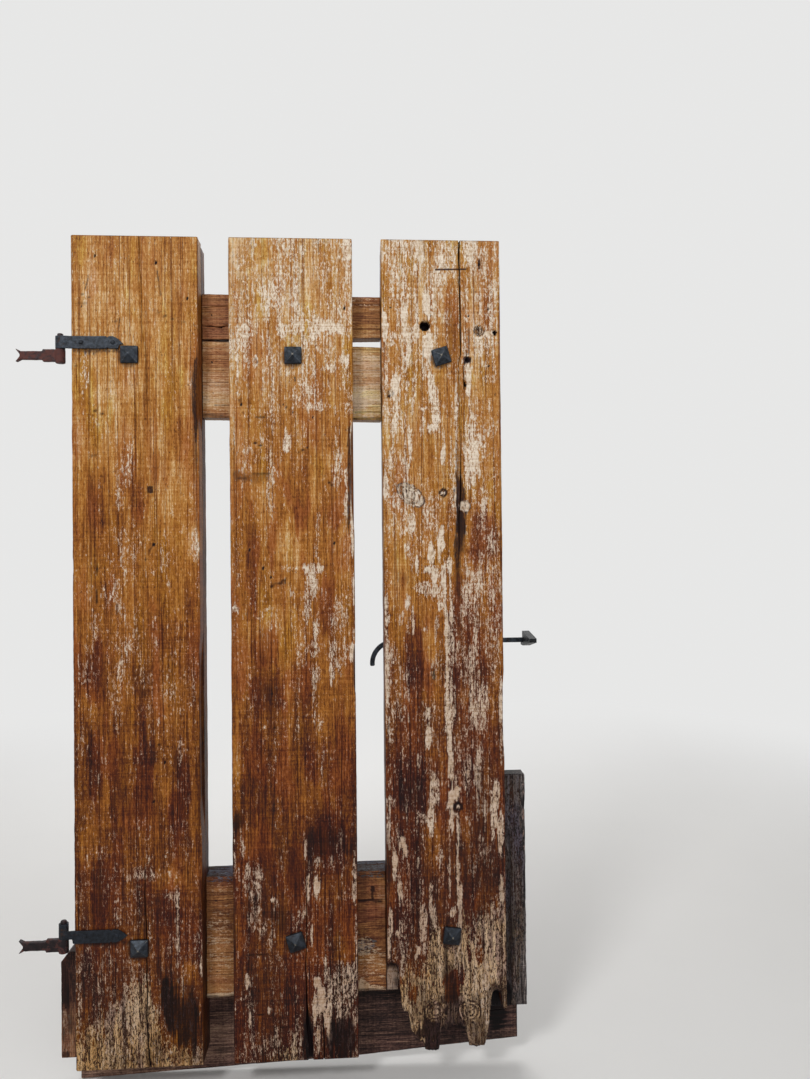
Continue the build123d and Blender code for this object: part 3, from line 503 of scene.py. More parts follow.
# a board's points: its section ring at every row, each column stretched between the two ends, worn in from
# the sides, sunk by its relief and cracks, and drawn in at both rims; an end grid closes each end
def buildBoard(ownSpec, finish):
    spec = {**boardDefaults, **ownSpec}
    name = spec["stands"][0] + "_timber"
    width, length, thick, seed = spec["width"], spec["length"], spec["thick"], spec["seed"]
    # rows, with four close ones at each end where the section shrinks round its rim
    l = rowPlaces(length, spec["rows"], spec["dense"])
    endRound = spec["endRound"]
    bend = np.radians([0, 30, 60, 90])
    rim = endRound * (1 - np.sin(bend))
    l = np.concatenate([rim[::-1], l[(l > endRound * 1.5) & (l < length - endRound * 1.5)], length - rim])
    shrink = np.zeros_like(l)
    shrink[:4] = endRound * (1 - np.cos(bend))[::-1]
    shrink[-4:] = endRound * (1 - np.cos(bend))
    cols, grooves = crackedColumns(spec, l)
    roundLeft = edgeRadius(spec, l, seed + 21, spec["leftChips"], 1.0)
    roundRight = edgeRadius(spec, l, seed + 22, spec["rightChips"], spec["topRounder"])
    a, t, weights, counts = sectionRing(cols, width, thick, roundLeft, roundRight, spec["backRound"],
                                        spec["sideCount"])
    frontW, rightW, backW, leftW = (w[None, :] for w in weights)
    n = counts[0]
    # the ends are a straight cut, or an outline that each column follows
    lowAt, highAt = 0.0, length
    if spec["foot"]:
        lowAt = between(spec["foot"], a) + 2.5 * softNoise(a / 2.2, a * 0, 77, 2)
    if spec["high"]:
        highAt = between(spec["high"], a)
    share = np.repeat(l[:, None], a.shape[1], 1) / length
    up = lowAt + (highAt - lowAt) * share
    leftIn = sideWear(spec, up, t, seed + 1, spec["leftWorn"])
    rightIn = sideWear(spec, up, t, seed + 3, spec["rightWorn"])
    a = a + leftIn * leftW - rightIn * rightW
    # front and back faces
    full = np.zeros_like(a)
    full[:, :n] = grooves
    depth = np.maximum(boardRelief(spec, a, up), 0) * frontW + full
    back = 0.5 + 0.4 * softNoise(a / 4, up / 90, seed + 6, 3)
    t = t + np.minimum(depth, thick * 0.8) - np.maximum(back, 0) * backW
    # rounded ends: the section shrinks towards its middle
    half = shrink[:, None]
    a = width / 2 + (a - width / 2) * (1 - half / (width / 2))
    t = thick / 2 + (t - thick / 2) * (1 - half / (thick / 2))
    whole = np.stack([a, up, t], -1)
    backStart = sum(counts[:4])
    caps = [endGrid(spec, whole[row, :n], whole[row, backStart:backStart + n][::-1], sign)
            for row, sign in ((0, 1), (-1, -1))]
    points = np.concatenate([whole.reshape(-1, 3), *caps])
    capPoints = np.zeros(sum(len(cap) for cap in caps))
    facing = np.concatenate([np.repeat(frontW, len(l), 0).ravel(), capPoints])
    dips = np.concatenate([(full / 3.0 + (depth > 6) * 1.0).ravel(), capPoints])
    quads, polygons = boardFaces(len(l), counts, spec["capRows"], spec["along"] == "X")
    across, along, deep = points.T
    piece = meshPiece(name, setInFrame(spec, across, along, deep), quads, polygons)
    wearAndShadeLook, tintLook = boardLook(spec, across, along, deep, facing, np.clip(dips, 0, 1))
    # the third wear channel holds dark stains together with painted shadows
    setLook(piece, "wear", np.stack(wearAndShadeLook, 1))
    setLook(piece, "tint", np.stack(tintLook, 1))
    piece.data.materials.append(finish)
    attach(piece, "gate_leaf")
    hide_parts(*spec["stands"])
    print(piece.name, len(piece.data.polygons), "faces")


leftPlank = {
    "seed": 11, "corner": (67.0, -5.0, -302.5), "width": 303.0, "length": 2010.0, "columns": 118,
    "rows": 318, "slot": "plank_timber", "stands": ["left_plank"], "round": 3.2, "endRound": 3.5,
    "dense": [(120, 160, 0.8), (1393, 25, 1.0)],
    "cracks": [
        {"path": [(-5, 167, 1.3), (120, 164, 0.9), (300, 163, 0.7), (520, 160, 0.2)], "deep": 9},
        {"path": [(1500, 183, 0.1), (1650, 184, 0.45), (1800, 168, 0.3), (2015, 163, 0.7)], "deep": 3},
    ],
    "holes": [
        (57, 1957, 3.2, 6), (202, 1943, 3.6, 8), (277, 1858, 2.6, 5), (192, 1261, 4.0, 8),
        (58, 1200, 2.6, 5), (57, 1140, 3.0, 6), (211, 1133, 2.8, 6), (188, 640, 3.0, 6), (215, 732, 2.6, 6),
        (25, 1838, 2.4, 4), (25, 1595, 2.4, 5), (275, 1595, 2.6, 5),
    ],
    "rightWorn": [(800, 260, 6.0), (1620, 90, 3.5)],
    "rightChips": [(1620, 95, 7.0), (120, 70, 3.0), (400, 60, 3.0)],
    "leftChips": [(1210, 30, 2.5), (620, 40, 2.0), (20, 40, 2.5)],
    "tone": [
        (0, 0.32), (120, 0.28), (260, 0.28), (500, 0.35), (700, 0.4), (950, 0.45), (1150, 0.54), (1350, 0.6),
        (1550, 0.68), (1800, 0.7), (2010, 0.68),
    ],
    "pale": [
        (90, 1750, 70, 190, 0.07), (240, 1390, 40, 70, 0.08), (20, 1120, 20, 120, 0.08),
        (225, 450, 34, 26, 0.16), (35, 530, 26, 45, 0.12), (40, 880, 26, 40, 0.1), (215, 700, 18, 80, 0.08),
        (230, 880, 40, 60, 0.07), (285, 590, 14, 60, 0.08), (270, 225, 26, 24, 0.12),
        (290, 1260, 12, 40, 0.16),
    ],
    "deep": [
        (168, 1880, 9, 120, 0.1), (176, 1650, 10, 180, 0.07), (115, 1665, 16, 45, 0.1),
        (255, 1520, 24, 46, 0.12), (210, 1420, 26, 60, 0.07), (150, 1400, 30, 70, 0.08),
        (55, 1340, 26, 90, 0.1), (230, 1040, 26, 40, 0.08), (165, 720, 20, 120, 0.16),
        (95, 700, 13, 150, 0.12), (50, 725, 18, 70, 0.12), (260, 680, 16, 70, 0.12), (60, 960, 26, 70, 0.08),
        (160, 850, 12, 80, 0.08), (60, 420, 20, 110, 0.12), (45, 200, 26, 90, 0.1), (170, 420, 30, 50, 0.08),
        (215, 380, 30, 60, 0.08), (245, 600, 18, 60, 0.1),
    ],
    "paint": [
        (35, 1680, 5, 60, 0.5), (26, 1620, 5, 60, 0.3), (132, 1450, 15, 50, 0.42), (112, 1390, 14, 60, 0.42),
        (128, 1240, 24, 60, 0.34), (110, 1130, 18, 60, 0.36), (135, 1010, 36, 60, 0.33),
        (112, 955, 14, 36, 0.42), (150, 940, 26, 30, 0.3), (195, 1040, 8, 60, 0.3), (290, 1255, 9, 45, 0.55),
        (25, 970, 16, 50, 0.3), (90, 1120, 10, 40, 0.33), (255, 770, 7, 40, 0.42), (222, 1240, 20, 60, 0.24),
        (85, 950, 8, 120, 0.26), (180, 870, 8, 60, 0.26), (243, 320, 5, 105, 0.52), (300, 230, 6, 20, 0.7),
        (300, 340, 7, 60, 0.4), (160, 470, 26, 14, 0.42), (185, 460, 14, 12, 0.5), (230, 412, 20, 10, 0.5),
        (105, 355, 14, 26, 0.3), (135, 420, 12, 50, 0.26), (235, 540, 8, 60, 0.3), (150, 230, 30, 20, 0.4),
        (12, 150, 5, 90, 0.5), (12, 250, 5, 40, 0.4), (65, 1450, 4, 60, 0.2),
    ],
    "bareLine": [
        (0, 96), (40, 84), (70, 104), (95, 128), (125, 178), (150, 196), (165, 205), (178, 170), (195, 96),
        (206, 40), (235, 26), (290, 30), (303, 20),
    ],
    "crumbs": [
        (0, 0.26), (480, 0.2), (600, 0.13), (900, 0.21), (1150, 0.18), (1400, 0.13), (2010, 0.1),
    ],
    "ruddy": [(0, -0.35), (130, -0.2), (300, 0.12), (500, 0.08), (900, 0.0), (2010, 0.0)], "reddening": 2.6,
    # the strips at up 304 and 1730 are painted shadows under the two hinge straps
    "dark": [
        (222, 150, 16, 60, 0.85), (262, 110, 34, 60, 0.72), (60, 304, 60, 7, 0.6), (60, 1730, 56, 7, 0.6),
        (240, 180, 40, 30, 0.35), (295, 1620, 6, 90, 0.75), (165, 690, 8, 80, 0.22),
        (215, 150, 10, 40, 0.72), (150, 22, 60, 16, 0.35), (240, 22, 60, 16, 0.3), (190, 60, 12, 30, 0.35),
        (296, 1500, 4, 60, 0.4), (150, 640, 30, 30, 0.18), (60, 450, 12, 60, 0.25),
    ],
    "marks": [
        (52, 1585, 76, 1576, 1.4, 0.75), (195, 1828, 240, 1808, 1.4, 0.55),
        (240, 1808, 292, 1794, 1.2, 0.45), (35, 1880, 43, 1912, 1.3, 0.55), (25, 1866, 45, 1858, 1.6, 0.6),
        (205, 1925, 214, 1862, 1.5, 0.6), (103, 1802, 118, 1803, 1.4, 0.7), (116, 1812, 112, 1780, 1.6, 0.7),
        (15, 1844, 42, 1846, 1.1, 0.45), (188, 1255, 172, 1222, 2.4, 0.6), (58, 1215, 58, 1190, 2.2, 0.7),
        (57, 1150, 57, 1118, 2.6, 0.7), (105, 1118, 105, 1095, 2.2, 0.5), (45, 1477, 58, 1476, 1.4, 0.5),
        (0, 1552, 230, 1550, 0.9, 0.22), (0, 822, 80, 818, 0.9, 0.3), (0, 806, 90, 803, 1.0, 0.3),
        (10, 1306, 200, 1305, 0.8, 0.18), (185, 1890, 200, 1892, 1.2, 0.4), (10, 1692, 25, 1688, 1.4, 0.5),
        (200, 776, 210, 780, 2.2, 0.6),
    ],
    "lightMarks": [
        (130, 1060, 172, 1086, 1.0, 0.5), (228, 976, 243, 955, 0.9, 0.4), (190, 1712, 285, 1665, 9.0, 0.16),
        (160, 1708, 250, 1700, 8.0, 0.1),
    ],
    "plates": [(185, 1393, 8.5, 0.72)],
}

middlePlank = {
    "seed": 37, "corner": (442.0, -5.0, -302.5), "width": 303.0, "length": 2010.0, "columns": 112,
    "rows": 312, "slot": "plank_timber", "stands": ["middle_plank"], "round": 3.0, "endRound": 3.0,
    "dense": [(120, 160, 0.8), (1450, 140, 0.3)],
    "cracks": [
        {"path": [(-5, 184, 8.5), (60, 183, 8.0), (95, 179, 3.6), (140, 178, 1.8), (230, 177, 1.1),
        (300, 179, 0.8), (400, 178, 0.9), (480, 177, 0.2)], "deep": 16}, {"path": [(-5, 217, 0.9),
        (60, 217, 0.7), (125, 216, 0.2)], "deep": 6}, {"path": [(-5, 111, 0.7), (120, 111, 0.6),
        (230, 112, 0.15)], "deep": 4}, {"path": [(1960, 221, 0.2), (2015, 221, 0.9)], "deep": 5},
    ],
    "holes": [
        (253, 1262, 3.2, 6), (47, 1243, 3.0, 5), (80, 1200, 2.4, 5), (98, 1178, 2.2, 4), (155, 1083, 2.0, 4),
        (25, 1858, 2.4, 4), (282, 1838, 2.6, 5), (98, 895, 3.0, 4), (30, 1601, 2.4, 5), (203, 1568, 2.6, 5),
    ],
    "rightWorn": [(1430, 150, 6.0), (950, 70, 4.0)],
    "rightChips": [(1440, 150, 9.0), (950, 80, 6.0), (300, 240, 2.5), (620, 60, 2.0)],
    "leftChips": [(1420, 40, 3.0), (1050, 120, 3.0), (420, 90, 3.0), (15, 40, 3.0)],
    "tone": [
        (0, 0.22), (120, 0.23), (260, 0.29), (430, 0.31), (560, 0.29), (700, 0.39), (850, 0.46),
        (1000, 0.54), (1200, 0.6), (1400, 0.63), (1600, 0.71), (1800, 0.81), (2010, 0.84),
    ],
    "pale": [
        (120, 1040, 60, 60, 0.1), (12, 700, 12, 140, 0.12), (145, 1260, 26, 60, 0.12),
        (80, 1290, 14, 40, 0.1), (135, 930, 12, 60, 0.12), (40, 540, 20, 40, 0.14), (80, 560, 26, 50, 0.08),
        (270, 300, 30, 60, 0.08), (15, 330, 12, 60, 0.12), (270, 250, 26, 20, 0.14),
        (110, 1650, 50, 60, 0.07), (15, 1500, 14, 240, 0.06), (75, 1340, 30, 90, 0.05),
        (110, 300, 14, 40, 0.1), (200, 260, 30, 30, 0.1),
    ],
    "deep": [
        (98, 1770, 12, 60, 0.16), (50, 1700, 24, 160, 0.07), (40, 1900, 26, 90, 0.05),
        (225, 1655, 26, 50, 0.12), (240, 1540, 40, 60, 0.12), (165, 1380, 26, 90, 0.12),
        (250, 1370, 26, 60, 0.1), (55, 1210, 18, 120, 0.14), (100, 1250, 10, 60, 0.1),
        (85, 1000, 26, 60, 0.12), (95, 905, 46, 46, 0.12), (230, 1110, 20, 60, 0.1), (170, 900, 30, 60, 0.1),
        (200, 740, 26, 60, 0.12), (60, 700, 26, 100, 0.1), (230, 530, 50, 60, 0.14),
        (150, 440, 40, 40, 0.08), (150, 200, 16, 90, 0.08), (115, 1820, 18, 60, 0.1),
        (265, 340, 30, 40, 0.08), (160, 330, 16, 50, 0.08), (265, 700, 30, 80, 0.06),
    ],
    "paint": [
        (130, 1900, 42, 60, 0.46), (265, 1900, 36, 110, 0.42), (298, 1480, 5, 60, 0.95),
        (297, 1370, 5, 60, 0.9), (299, 1270, 4, 40, 0.8), (290, 1985, 12, 30, 0.8),
        (215, 1960, 12, 50, 0.36), (135, 1782, 20, 18, 0.7), (170, 1795, 16, 20, 0.66),
        (208, 1790, 20, 30, 0.6), (255, 1787, 34, 11, 0.85), (240, 1800, 18, 10, 0.9),
        (205, 1742, 34, 22, 0.48), (180, 1820, 26, 20, 0.46), (180, 1690, 44, 30, 0.36),
        (245, 1690, 22, 9, 0.62), (280, 1712, 16, 12, 0.52), (180, 1625, 34, 36, 0.42),
        (215, 1596, 38, 12, 0.46), (140, 1508, 10, 30, 0.8), (65, 1706, 7, 16, 0.62),
        (262, 1440, 14, 44, 0.46), (284, 1425, 7, 26, 0.62), (284, 1350, 7, 36, 0.62),
        (214, 1300, 5, 40, 0.52), (207, 1240, 6, 22, 0.5), (203, 1197, 24, 15, 0.74),
        (145, 1198, 24, 7, 0.42), (197, 1150, 12, 40, 0.66), (190, 1105, 8, 30, 0.5),
        (206, 1040, 8, 44, 0.52), (200, 1000, 14, 26, 0.48), (203, 940, 14, 30, 0.48),
        (165, 1050, 20, 90, 0.3), (262, 1080, 20, 44, 0.4), (262, 990, 30, 40, 0.42),
        (296, 985, 7, 24, 0.95), (300, 1120, 4, 90, 0.55), (303, 820, 4, 90, 0.5), (243, 940, 8, 24, 0.6),
        (158, 880, 8, 60, 0.26), (205, 870, 8, 60, 0.26), (160, 800, 8, 40, 0.28), (218, 820, 4, 26, 0.4),
        (148, 1140, 6, 8, 0.7), (250, 1850, 10, 30, 0.5), (100, 1830, 6, 40, 0.3), (218, 700, 3, 50, 0.4),
        (208, 1700, 8, 40, 0.4), (12, 1100, 10, 12, 0.5), (182, 420, 3, 34, 0.92), (203, 420, 7, 24, 0.92),
        (204, 485, 6, 7, 0.6), (238, 480, 4, 12, 0.5), (222, 475, 16, 8, 0.34), (48, 440, 24, 44, 0.42),
        (38, 470, 8, 16, 0.55), (20, 520, 14, 24, 0.36), (35, 198, 5, 20, 0.9), (86, 125, 4, 10, 0.9),
        (39, 105, 4, 16, 0.66), (60, 345, 24, 40, 0.36), (203, 190, 9, 13, 0.85), (212, 145, 11, 36, 0.86),
        (196, 125, 5, 32, 0.8), (224, 100, 8, 26, 0.76), (204, 45, 6, 36, 0.66), (232, 75, 6, 60, 0.66),
        (245, 170, 26, 60, 0.44), (283, 180, 20, 50, 0.52), (262, 120, 16, 50, 0.42),
        (296, 440, 6, 60, 0.62), (299, 260, 4, 90, 0.5), (90, 45, 30, 34, 0.34), (150, 60, 16, 46, 0.36),
        (222, 215, 4, 44, 0.6), (190, 300, 3, 26, 0.6), (170, 355, 4, 9, 0.7), (96, 393, 5, 3, 0.8),
        (5, 500, 4, 60, 0.5), (175, 510, 2, 30, 0.6), (262, 545, 8, 30, 0.3),
    ],
    "bareLine": [(0, -50), (80, -50), (95, 12), (130, 20), (165, 22), (175, -50), (303, -50)],
    "crumbs": [
        (0, 0.32), (400, 0.2), (600, 0.14), (1200, 0.2), (1500, 0.26), (1700, 0.44), (2010, 0.53),
    ],
    "flaking": 1.08, "ruddy": [(0, 0.12), (450, 0.18), (700, 0.1), (950, 0.0), (2010, 0.0)],
    "reddening": 2.6,
    "dark": [
        (52, 1420, 36, 12, 0.34), (122, 1163, 18, 4, 0.45), (131, 1169, 6, 5, 0.6), (85, 1010, 26, 40, 0.2),
        (97, 897, 20, 20, 0.32), (225, 530, 44, 34, 0.34), (291, 1440, 3.5, 120, 0.72),
        (289, 1330, 3, 40, 0.6), (247, 300, 22, 40, 0.24), (262, 45, 36, 44, 0.66), (115, 345, 14, 30, 0.38),
        (150, 440, 14, 60, 0.2), (180, 50, 9, 60, 0.95), (60, 180, 30, 40, 0.26), (18, 1425, 10, 14, 0.4),
        (28, 1610, 4, 12, 0.4), (55, 1250, 5, 60, 0.25), (240, 540, 20, 20, 0.4), (15, 585, 10, 26, 0.6),
        (105, 160, 40, 40, 0.2), (4, 300, 4, 80, 0.5),
    ],
    "marks": [
        (60, 1507, 82, 1497, 1.6, 0.8), (168, 1484, 190, 1494, 1.8, 0.75), (125, 1605, 160, 1577, 1.2, 0.65),
        (65, 1570, 88, 1570, 1.6, 0.6), (240, 1410, 250, 1400, 2.4, 0.7), (97, 1154, 133, 1167, 1.5, 0.8),
        (116, 1164, 132, 1172, 1.6, 0.7), (28, 263, 86, 260, 1.5, 0.7), (60, 116, 95, 112, 1.5, 0.7),
        (112, 83, 140, 82, 1.2, 0.6), (12, 2005, 12, 900, 0.9, 0.32), (55, 1432, 100, 1430, 1.2, 0.55),
        (20, 1420, 70, 1416, 1.6, 0.6), (200, 1455, 232, 1425, 1.0, 0.4), (97, 808, 108, 812, 1.6, 0.7),
        (20, 396, 110, 396, 1.0, 0.4), (10, 1008, 60, 1010, 1.0, 0.4), (64, 1712, 70, 1702, 2.0, 0.6),
        (160, 1668, 162, 1655, 2.0, 0.6), (30, 1090, 60, 1080, 1.0, 0.3), (225, 1500, 240, 1560, 0.9, 0.3),
    ],
    "lightMarks": [
        (10, 1908, 90, 1945, 7.0, 0.42), (90, 1945, 195, 2003, 6.0, 0.36), (232, 1684, 290, 1725, 3.0, 0.4),
        (78, 811, 78.5, 811, 3.4, 0.95), (186, 843, 187, 843, 3.8, 0.95), (128, 1049, 128.5, 1049, 2.2, 0.8),
        (0, 845, 290, 846, 1.0, 0.14),
    ],
}

rightPlank = {
    "seed": 59, "corner": (815.0, -5.0, -302.5), "width": 297.0, "length": 2010.0, "columns": 108,
    "rows": 322, "slot": "plank_timber", "stands": ["right_plank"], "round": 3.0, "endRound": 2.5,
    "dense": [
        (110, 150, 1.2), (1790, 30, 2.2), (1375, 45, 1.2), (1690, 40, 0.8), (610, 20, 1.0), (1937, 7, 5.0),
    ],
    "extra": [
        22.0, 27.0, 31.0, 34.5, 53.0, 57.0, 89.5, 91.5, 127.5, 130.5, 198.5, 201.5, 242.0, 247.0, 254.0,
        256.5, 259.5, 285.5, 288.5,
    ],
    "foot": [
        (0, 222), (12, 228), (23, 216), (30, 196), (33, 150), (37, 106), (44, 104), (53, 102), (56, 64),
        (62, 52), (74, 40), (82, 30), (89, 30), (92, 9), (110, 6), (127, 6), (130, 40), (133, 58), (140, 62),
        (146, 54), (152, 70), (160, 64), (166, 72), (173, 62), (180, 70), (188, 58), (196, 60), (200, 48),
        (202, 13), (222, 11), (241, 12), (247, 34), (252, 66), (255, 100), (257.5, 128), (259.5, 140),
        (270, 147), (279, 143), (285, 136), (288, 100), (297, 97),
    ],
    "cracks": [
        {"path": [(1150, 188, 0.2), (1300, 192, 1.6), (1400, 196, 1.8), (1480, 197, 0.9), (1700, 195, 1.0),
        (1900, 193, 1.3), (2015, 193, 1.6)], "deep": 14}, {"path": [(1640, 206, 1.6), (1665, 206, 1.2),
        (1690, 205, 0.6), (1718, 212, 1.2), (1735, 214, 0.2)], "deep": 8, "wander": 0.3},
        {"path": [(150, 146, 0.2), (220, 146, 0.9), (250, 146, 0.8), (275, 146, 0.2)], "deep": 5},
    ],
    "holes": [
        (108, 1796, 12.5, 34), (243, 1784, 11.5, 5), (283, 1781, 5.0, 16), (207, 1652, 4.4, 14),
        (214, 1712, 6.0, 10), (218, 1822, 2.6, 5), (267, 1838, 2.4, 5), (268, 1697, 2.8, 5),
        (282, 1625, 2.2, 4), (265, 1583, 2.2, 4), (24, 1840, 2.8, 4), (133, 1908, 2.4, 4),
        (122, 1822, 2.0, 4), (245, 1950, 2.6, 6),
    ],
    "leftChips": [(960, 150, 2.5), (1620, 30, 3.0), (600, 60, 2.0)],
    "rightChips": [(800, 130, 3.5), (300, 60, 2.0)], "rightWorn": [(830, 110, 2.0)],
    "leftWorn": [(1620, 28, 1.8)],
    "tone": [
        (0, 0.28), (120, 0.34), (260, 0.23), (420, 0.23), (560, 0.32), (700, 0.37), (850, 0.43),
        (1000, 0.49), (1200, 0.6), (1400, 0.68), (1600, 0.74), (1800, 0.78), (2010, 0.81),
    ],
    "pale": [
        (60, 1250, 60, 90, 0.06), (30, 1580, 40, 90, 0.05), (120, 520, 24, 60, 0.14), (20, 420, 12, 50, 0.1),
        (60, 880, 60, 30, 0.06), (195, 540, 10, 90, 0.12), (255, 370, 26, 40, 0.1),
        (110, 1000, 26, 40, 0.08), (20, 1130, 14, 120, 0.06),
    ],
    "deep": [
        (72, 960, 22, 100, 0.16), (60, 660, 40, 70, 0.14), (55, 440, 24, 160, 0.07),
        (250, 1270, 40, 80, 0.2), (280, 1100, 16, 120, 0.16), (230, 1000, 60, 120, 0.12),
        (200, 760, 34, 110, 0.12), (260, 760, 30, 60, 0.1), (35, 1750, 34, 160, 0.06),
        (175, 1780, 14, 120, 0.16), (170, 1620, 12, 60, 0.1), (45, 1170, 16, 14, 0.05),
        (20, 1900, 18, 90, 0.05), (215, 1330, 60, 40, 0.1), (180, 1050, 10, 140, 0.12),
        (95, 300, 20, 60, 0.05), (240, 1650, 40, 80, 0.03), (265, 1830, 26, 40, 0.05),
        (175, 900, 8, 120, 0.12), (255, 1550, 30, 60, 0.05),
    ],
    "paint": [
        (110, 1960, 90, 60, 0.4), (75, 1985, 40, 30, 0.52), (240, 1950, 40, 60, 0.42),
        (222, 1990, 20, 30, 0.55), (170, 1970, 16, 44, 0.55), (60, 1900, 12, 60, 0.42),
        (145, 1890, 14, 70, 0.4), (285, 1900, 10, 120, 0.32), (8, 1788, 7, 34, 0.94), (28, 1768, 7, 16, 0.6),
        (29, 1752, 6, 7, 0.85), (57, 1790, 5, 50, 0.8), (68, 1755, 6, 44, 0.7), (88, 1820, 7, 70, 0.62),
        (112, 1850, 11, 32, 0.86), (126, 1838, 5, 22, 0.62), (113, 1745, 11, 40, 0.86),
        (104, 1712, 5, 36, 0.62), (112, 1690, 6, 24, 0.6), (82, 1770, 9, 24, 0.5), (33, 1650, 9, 34, 0.97),
        (40, 1660, 7, 12, 0.9), (36, 1615, 6, 15, 0.66), (31, 1560, 4, 24, 0.8), (10, 1570, 6, 40, 0.4),
        (63, 1680, 5, 90, 0.46), (78, 1640, 6, 50, 0.4), (121, 1650, 7, 50, 0.6), (132, 1620, 8, 40, 0.52),
        (134, 1570, 9, 44, 0.66), (104, 1590, 12, 8, 0.62), (67, 1510, 6, 46, 0.62), (58, 1470, 5, 20, 0.4),
        (122, 1540, 12, 14, 0.6), (98, 1540, 8, 20, 0.46), (151, 1480, 6, 34, 0.74), (153, 1520, 4, 16, 0.5),
        (21, 1462, 4, 12, 0.8), (8, 1400, 8, 36, 0.66), (60, 1430, 8, 30, 0.46), (185, 1580, 4, 110, 0.5),
        (215, 1660, 6, 50, 0.86), (217, 1610, 4, 26, 0.7), (222, 1490, 22, 90, 0.52),
        (225, 1440, 16, 40, 0.66), (232, 1520, 9, 60, 0.5), (213, 1410, 9, 26, 0.6),
        (250, 1560, 40, 60, 0.3), (283, 1440, 10, 60, 0.4), (245, 1745, 6, 26, 0.66),
        (240, 1865, 9, 20, 0.66), (247, 1840, 6, 22, 0.6), (262, 1778, 16, 5, 0.74), (214, 1860, 4, 60, 0.4),
        (270, 1690, 26, 40, 0.3), (160, 1800, 6, 60, 0.34), (240, 1380, 30, 20, 0.34),
        (250, 1350, 10, 20, 0.5), (262, 1400, 24, 60, 0.26), (75, 1310, 8, 26, 0.6),
        (66, 1300, 10, 26, 0.56), (60, 1240, 10, 20, 0.46), (55, 1255, 4, 10, 0.5), (118, 1232, 9, 30, 0.86),
        (84, 1205, 4, 22, 0.6), (112, 1190, 16, 9, 0.66), (126, 1170, 10, 20, 0.8), (100, 1145, 20, 18, 0.5),
        (130, 1140, 14, 20, 0.6), (143, 1255, 7, 40, 0.86), (149, 1180, 6, 60, 0.72),
        (164, 1200, 8, 22, 0.72), (145, 1105, 12, 12, 0.72), (152, 1130, 5, 60, 0.66),
        (60, 1110, 6, 14, 0.7), (72, 1070, 2.6, 34, 0.9), (47, 1080, 2.6, 14, 0.7), (130, 1058, 6, 12, 0.6),
        (128, 1020, 4, 24, 0.5), (102, 1045, 8, 8, 0.42), (50, 905, 16, 32, 0.32), (55, 930, 10, 8, 0.4),
        (122, 945, 8, 24, 0.5), (6, 1000, 6, 130, 0.6), (10, 900, 8, 60, 0.42), (25, 850, 30, 14, 0.32),
        (107, 775, 6.5, 24, 0.98), (108, 805, 4, 10, 0.7), (106, 838, 8, 12, 0.55), (42, 828, 8, 10, 0.5),
        (58, 830, 3, 14, 0.6), (154, 960, 4.5, 220, 0.72), (159, 780, 4.5, 120, 0.7), (164, 690, 5, 60, 0.7),
        (166, 990, 6, 170, 0.5), (172, 860, 4, 60, 0.4), (215, 1130, 22, 90, 0.46), (200, 1080, 8, 70, 0.52),
        (235, 1170, 8, 40, 0.5), (240, 1150, 12, 12, 0.55), (228, 1050, 8, 40, 0.5),
        (262, 1220, 3, 60, 0.46), (210, 960, 40, 60, 0.34), (232, 860, 26, 60, 0.5),
        (245, 820, 14, 40, 0.46), (236, 720, 10, 80, 0.36), (268, 1000, 20, 90, 0.34),
        (290, 860, 5, 60, 0.72), (289, 760, 6, 60, 0.46), (232, 690, 8, 60, 0.5), (275, 640, 8, 40, 0.5),
        (205, 700, 8, 40, 0.34), (84, 715, 8, 20, 0.46), (120, 690, 14, 30, 0.34), (124, 650, 12, 40, 0.56),
        (170, 634, 13, 15, 0.99), (176, 650, 8, 6, 0.9), (162, 612, 10, 14, 0.8), (12, 620, 12, 20, 0.5),
        (10, 770, 5, 60, 0.4), (230, 620, 6, 60, 0.4), (268, 595, 10, 60, 0.56), (284, 545, 9, 44, 0.66),
        (248, 600, 6, 60, 0.46), (40, 520, 9, 14, 0.6), (47, 502, 5, 16, 0.8), (22, 478, 6, 20, 0.78),
        (21, 450, 5, 20, 0.66), (33, 410, 5, 18, 0.84), (36, 392, 4, 8, 0.7), (112, 575, 7, 36, 0.64),
        (90, 580, 14, 20, 0.4), (163, 565, 6, 24, 0.84), (168, 590, 10, 10, 0.6), (136, 485, 5, 12, 0.56),
        (84, 420, 6, 70, 0.36), (94, 520, 5, 26, 0.3), (78, 470, 4, 14, 0.5), (156, 440, 4, 60, 0.54),
        (178, 460, 4, 150, 0.56), (181, 350, 5, 80, 0.66), (163, 345, 6, 10, 0.86), (28, 300, 5, 6, 0.8),
        (78, 256, 6, 12, 0.84), (70, 240, 4, 8, 0.6), (109, 380, 4, 50, 0.5), (8, 560, 5, 50, 0.5),
        (285, 395, 7, 36, 0.6), (240, 500, 30, 40, 0.3), (10, 330, 5, 30, 0.6), (6, 280, 4, 40, 0.5),
        (90, 300, 12, 60, 0.4), (115, 330, 8, 40, 0.5), (40, 230, 6, 24, 0.5), (30, 205, 10, 16, 0.6),
        (12, 700, 6, 40, 0.3), (52, 600, 3, 20, 0.4), (215, 470, 10, 60, 0.24),
    ],
    "bareLine": [
        (0, 150), (30, 150), (36, 205), (50, 205), (62, 186), (80, 180), (97, 190), (104, 270), (112, 318),
        (135, 262), (150, 240), (165, 250), (182, 330), (205, 280), (225, 300), (240, 330), (270, 345),
        (297, 350),
    ],
    "crumbs": [
        (0, 0.4), (400, 0.28), (800, 0.26), (1200, 0.38), (1500, 0.42), (1800, 0.49), (2010, 0.57),
    ],
    "flaking": 1.22, "staining": 0.85, "reddening": 1.9,
    "ruddy": [(0, 0.05), (250, 0.22), (700, 0.18), (1000, 0.0), (2010, -0.05)],
    "dark": [
        (192, 1360, 12, 60, 0.85), (190, 1300, 11, 60, 0.92), (184, 1240, 7, 60, 0.66),
        (186, 1160, 6, 60, 0.5), (186, 1060, 4, 90, 0.3), (174, 1800, 9, 90, 0.24), (182, 1690, 7, 70, 0.2),
